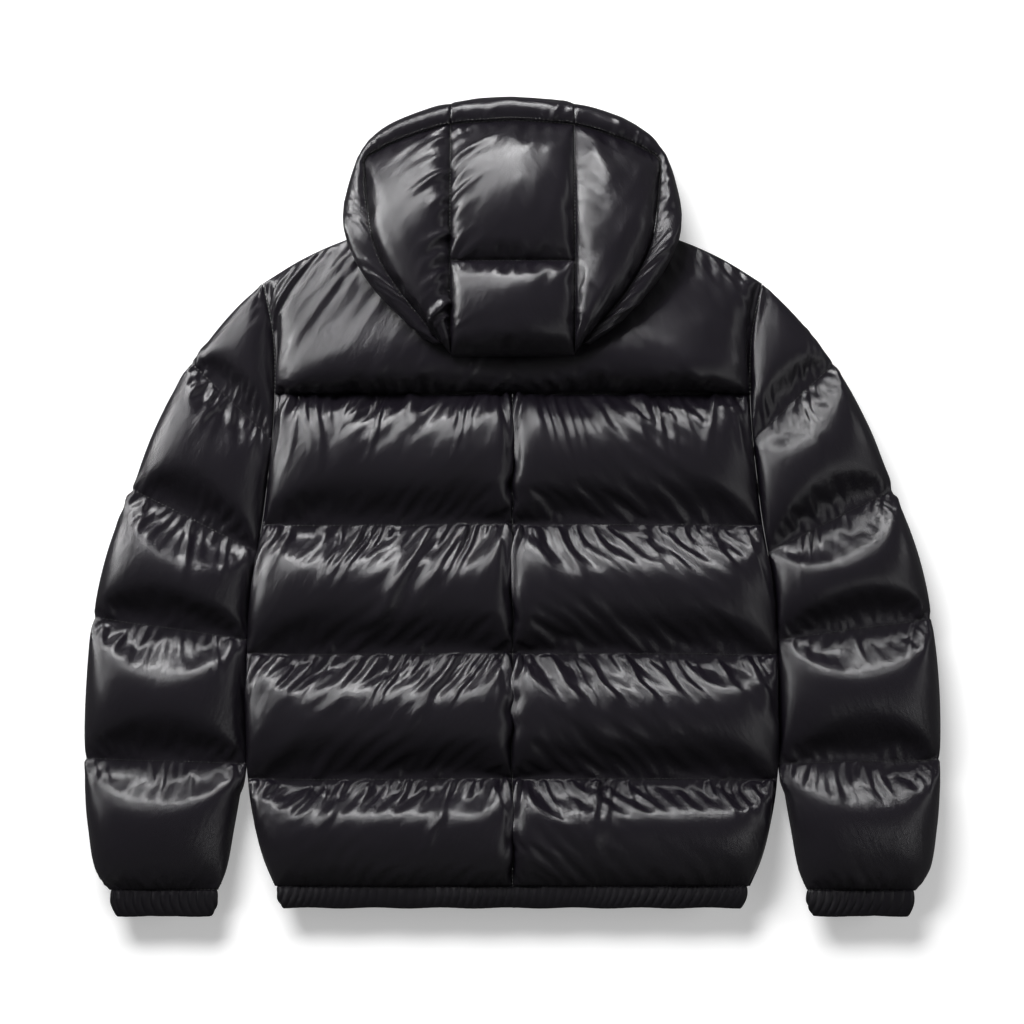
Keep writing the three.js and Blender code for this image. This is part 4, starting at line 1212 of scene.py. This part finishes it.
sewing = stitches("seam_stitches", stitch_lines, thread)
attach(sewing, "jacket")

# ---- Zip -----------------------------------------------------------------------------------------
# A plastic coil zip in black: woven tapes, a tooth for each turn of the coil, and an enamelled slider
# whose pull hangs in the groove between the fronts.
tape_cloth = cloth_material("zip tape", (0.010, 0.010, 0.011), (0.016, 0.016, 0.017),
                            (0.6, 0.8), 500.0, 5000.0, 0.00008)
enamel = cloth_material("black enamel", (0.012, 0.012, 0.013), (0.02, 0.02, 0.02),
                        (0.22, 0.34), 60.0, 300.0, 0.00002, coat=0.3)
TOOTH_PITCH, TEETH_LOW, TEETH_HIGH, TEETH_Z = 0.0026, HEM_EDGE, 0.207, 0.0313
TOOTH_WIDE, TOOTH_TALL, TOOTH_SIDES = 0.0009, 0.0008, 6        # half its width and height, its sides
TOOTH_RINGS = ((0.0003, 0.5), (0.0008, 1), (0.0021, 1), (0.0026, 0.6))     # x, share of its thickness
tooth = np.array([(x, TOOTH_WIDE * r * math.cos(a), TOOTH_TALL * r * math.sin(a))
                  for x, r in TOOTH_RINGS for a in ring_angles(TOOTH_SIDES)])
one = grid_faces(len(TOOTH_RINGS), TOOTH_SIDES, wrap=True) + end_caps(TOOTH_SIDES, len(tooth))
places = np.arange(TEETH_LOW, TEETH_HIGH, TOOTH_PITCH)
points, faces = [], []
for side in (1, -1):
    for y in places + (0 if side > 0 else TOOTH_PITCH / 2):
        base = len(tooth) * len(points)
        points.append(tooth * [side, 1, 1] + [0, y, TEETH_Z])
        faces += [[base + i for i in f[::side]] for f in one]
teeth = make_piece("zip_teeth", np.concatenate(points), faces, len(faces), enamel)
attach(teeth, "jacket")
for name in ("zip_tape_right", "zip_tape_left", "zip_slider", "zip_bridge", "zip_pull"):
    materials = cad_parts[name].data.materials
    materials.clear()
    materials.append(tape_cloth if "tape" in name else enamel)

# ---- Floor and light -----------------------------------------------------------------------------
# A white table top, left out of what the gloss mirrors. A large soft light beyond the hood throws the
# shadow. Two key lights on the left, one low and one higher, shine only in the gloss, and fade towards
# the hem and cuffs.
FLOOR = 6              # half the width of the table top
floor_mesh = bpy.data.meshes.new("table_top")
floor_mesh.from_pydata([(-FLOOR, -FLOOR, 0), (FLOOR, -FLOOR, 0), (FLOOR, FLOOR, 0), (-FLOOR, FLOOR, 0)],
                       [], [(0, 1, 2, 3)])
table_top = bpy.data.objects.new("table_top", floor_mesh)
bpy.context.scene.collection.objects.link(table_top)
white = bpy.data.materials.new("white table")
white.use_nodes = True
for key, value in (("Base Color", (0.86, 0.86, 0.86, 1)), ("Roughness", 0.9),
                   ("Specular IOR Level", 0.1), ("Emission Color", (1, 1, 1, 1)),
                   ("Emission Strength", 0.33)):
    white.node_tree.nodes["Principled BSDF"].inputs[key].default_value = value
floor_mesh.materials.append(white)
table_top.visible_glossy = False


def soft_light(name, place, aim, width, height, power, spread=math.pi):
    """A rectangular light at place, turned to face aim, that shines within the angle spread."""
    light = bpy.data.lights.new(name, "AREA")
    light.shape = "RECTANGLE"
    light.size, light.size_y, light.energy, light.spread = width, height, power, spread
    lamp = bpy.data.objects.new(name, light)
    lamp.location = place
    lamp.rotation_euler = (Vector(aim) - Vector(place)).to_track_quat("-Z", "Y").to_euler()
    bpy.context.scene.collection.objects.link(lamp)
    return lamp


soft_light("table light", (-1.0, 2.1, 2.5), (0, -0.1, 0), 1.8, 1.0, 150).visible_glossy = False
soft_light("low strip", (-0.4, 2.6, 1.0), (0, 0, 0), 2.6, 0.8, 4)
for name, place, aim, size, power, spread in (
        ("low key", (-0.60, 1.10, 0.50), (-0.10, 0.25, 0.05), (1.2, 0.5), 4.0, 0.55),
        ("high key", (-0.75, 0.95, 1.00), (-0.10, 0.30, 0.05), (1.0, 0.6), 2.8, 0.62)):
    soft_light(name, place, aim, *size, power, spread).visible_diffuse = False
soft_light("fill", (2.6, 0.3, 1.5), (0, 0, 0), 1.0, 1.4, 12)
world = bpy.data.worlds.new("studio")
world.use_nodes = True
sky = world.node_tree.nodes["Background"]
sky.inputs["Color"].default_value = (1, 1, 1, 1)
sky.inputs["Strength"].default_value = 0.13
bpy.context.scene.world = world
bpy.context.scene.view_settings.view_transform = "Standard"
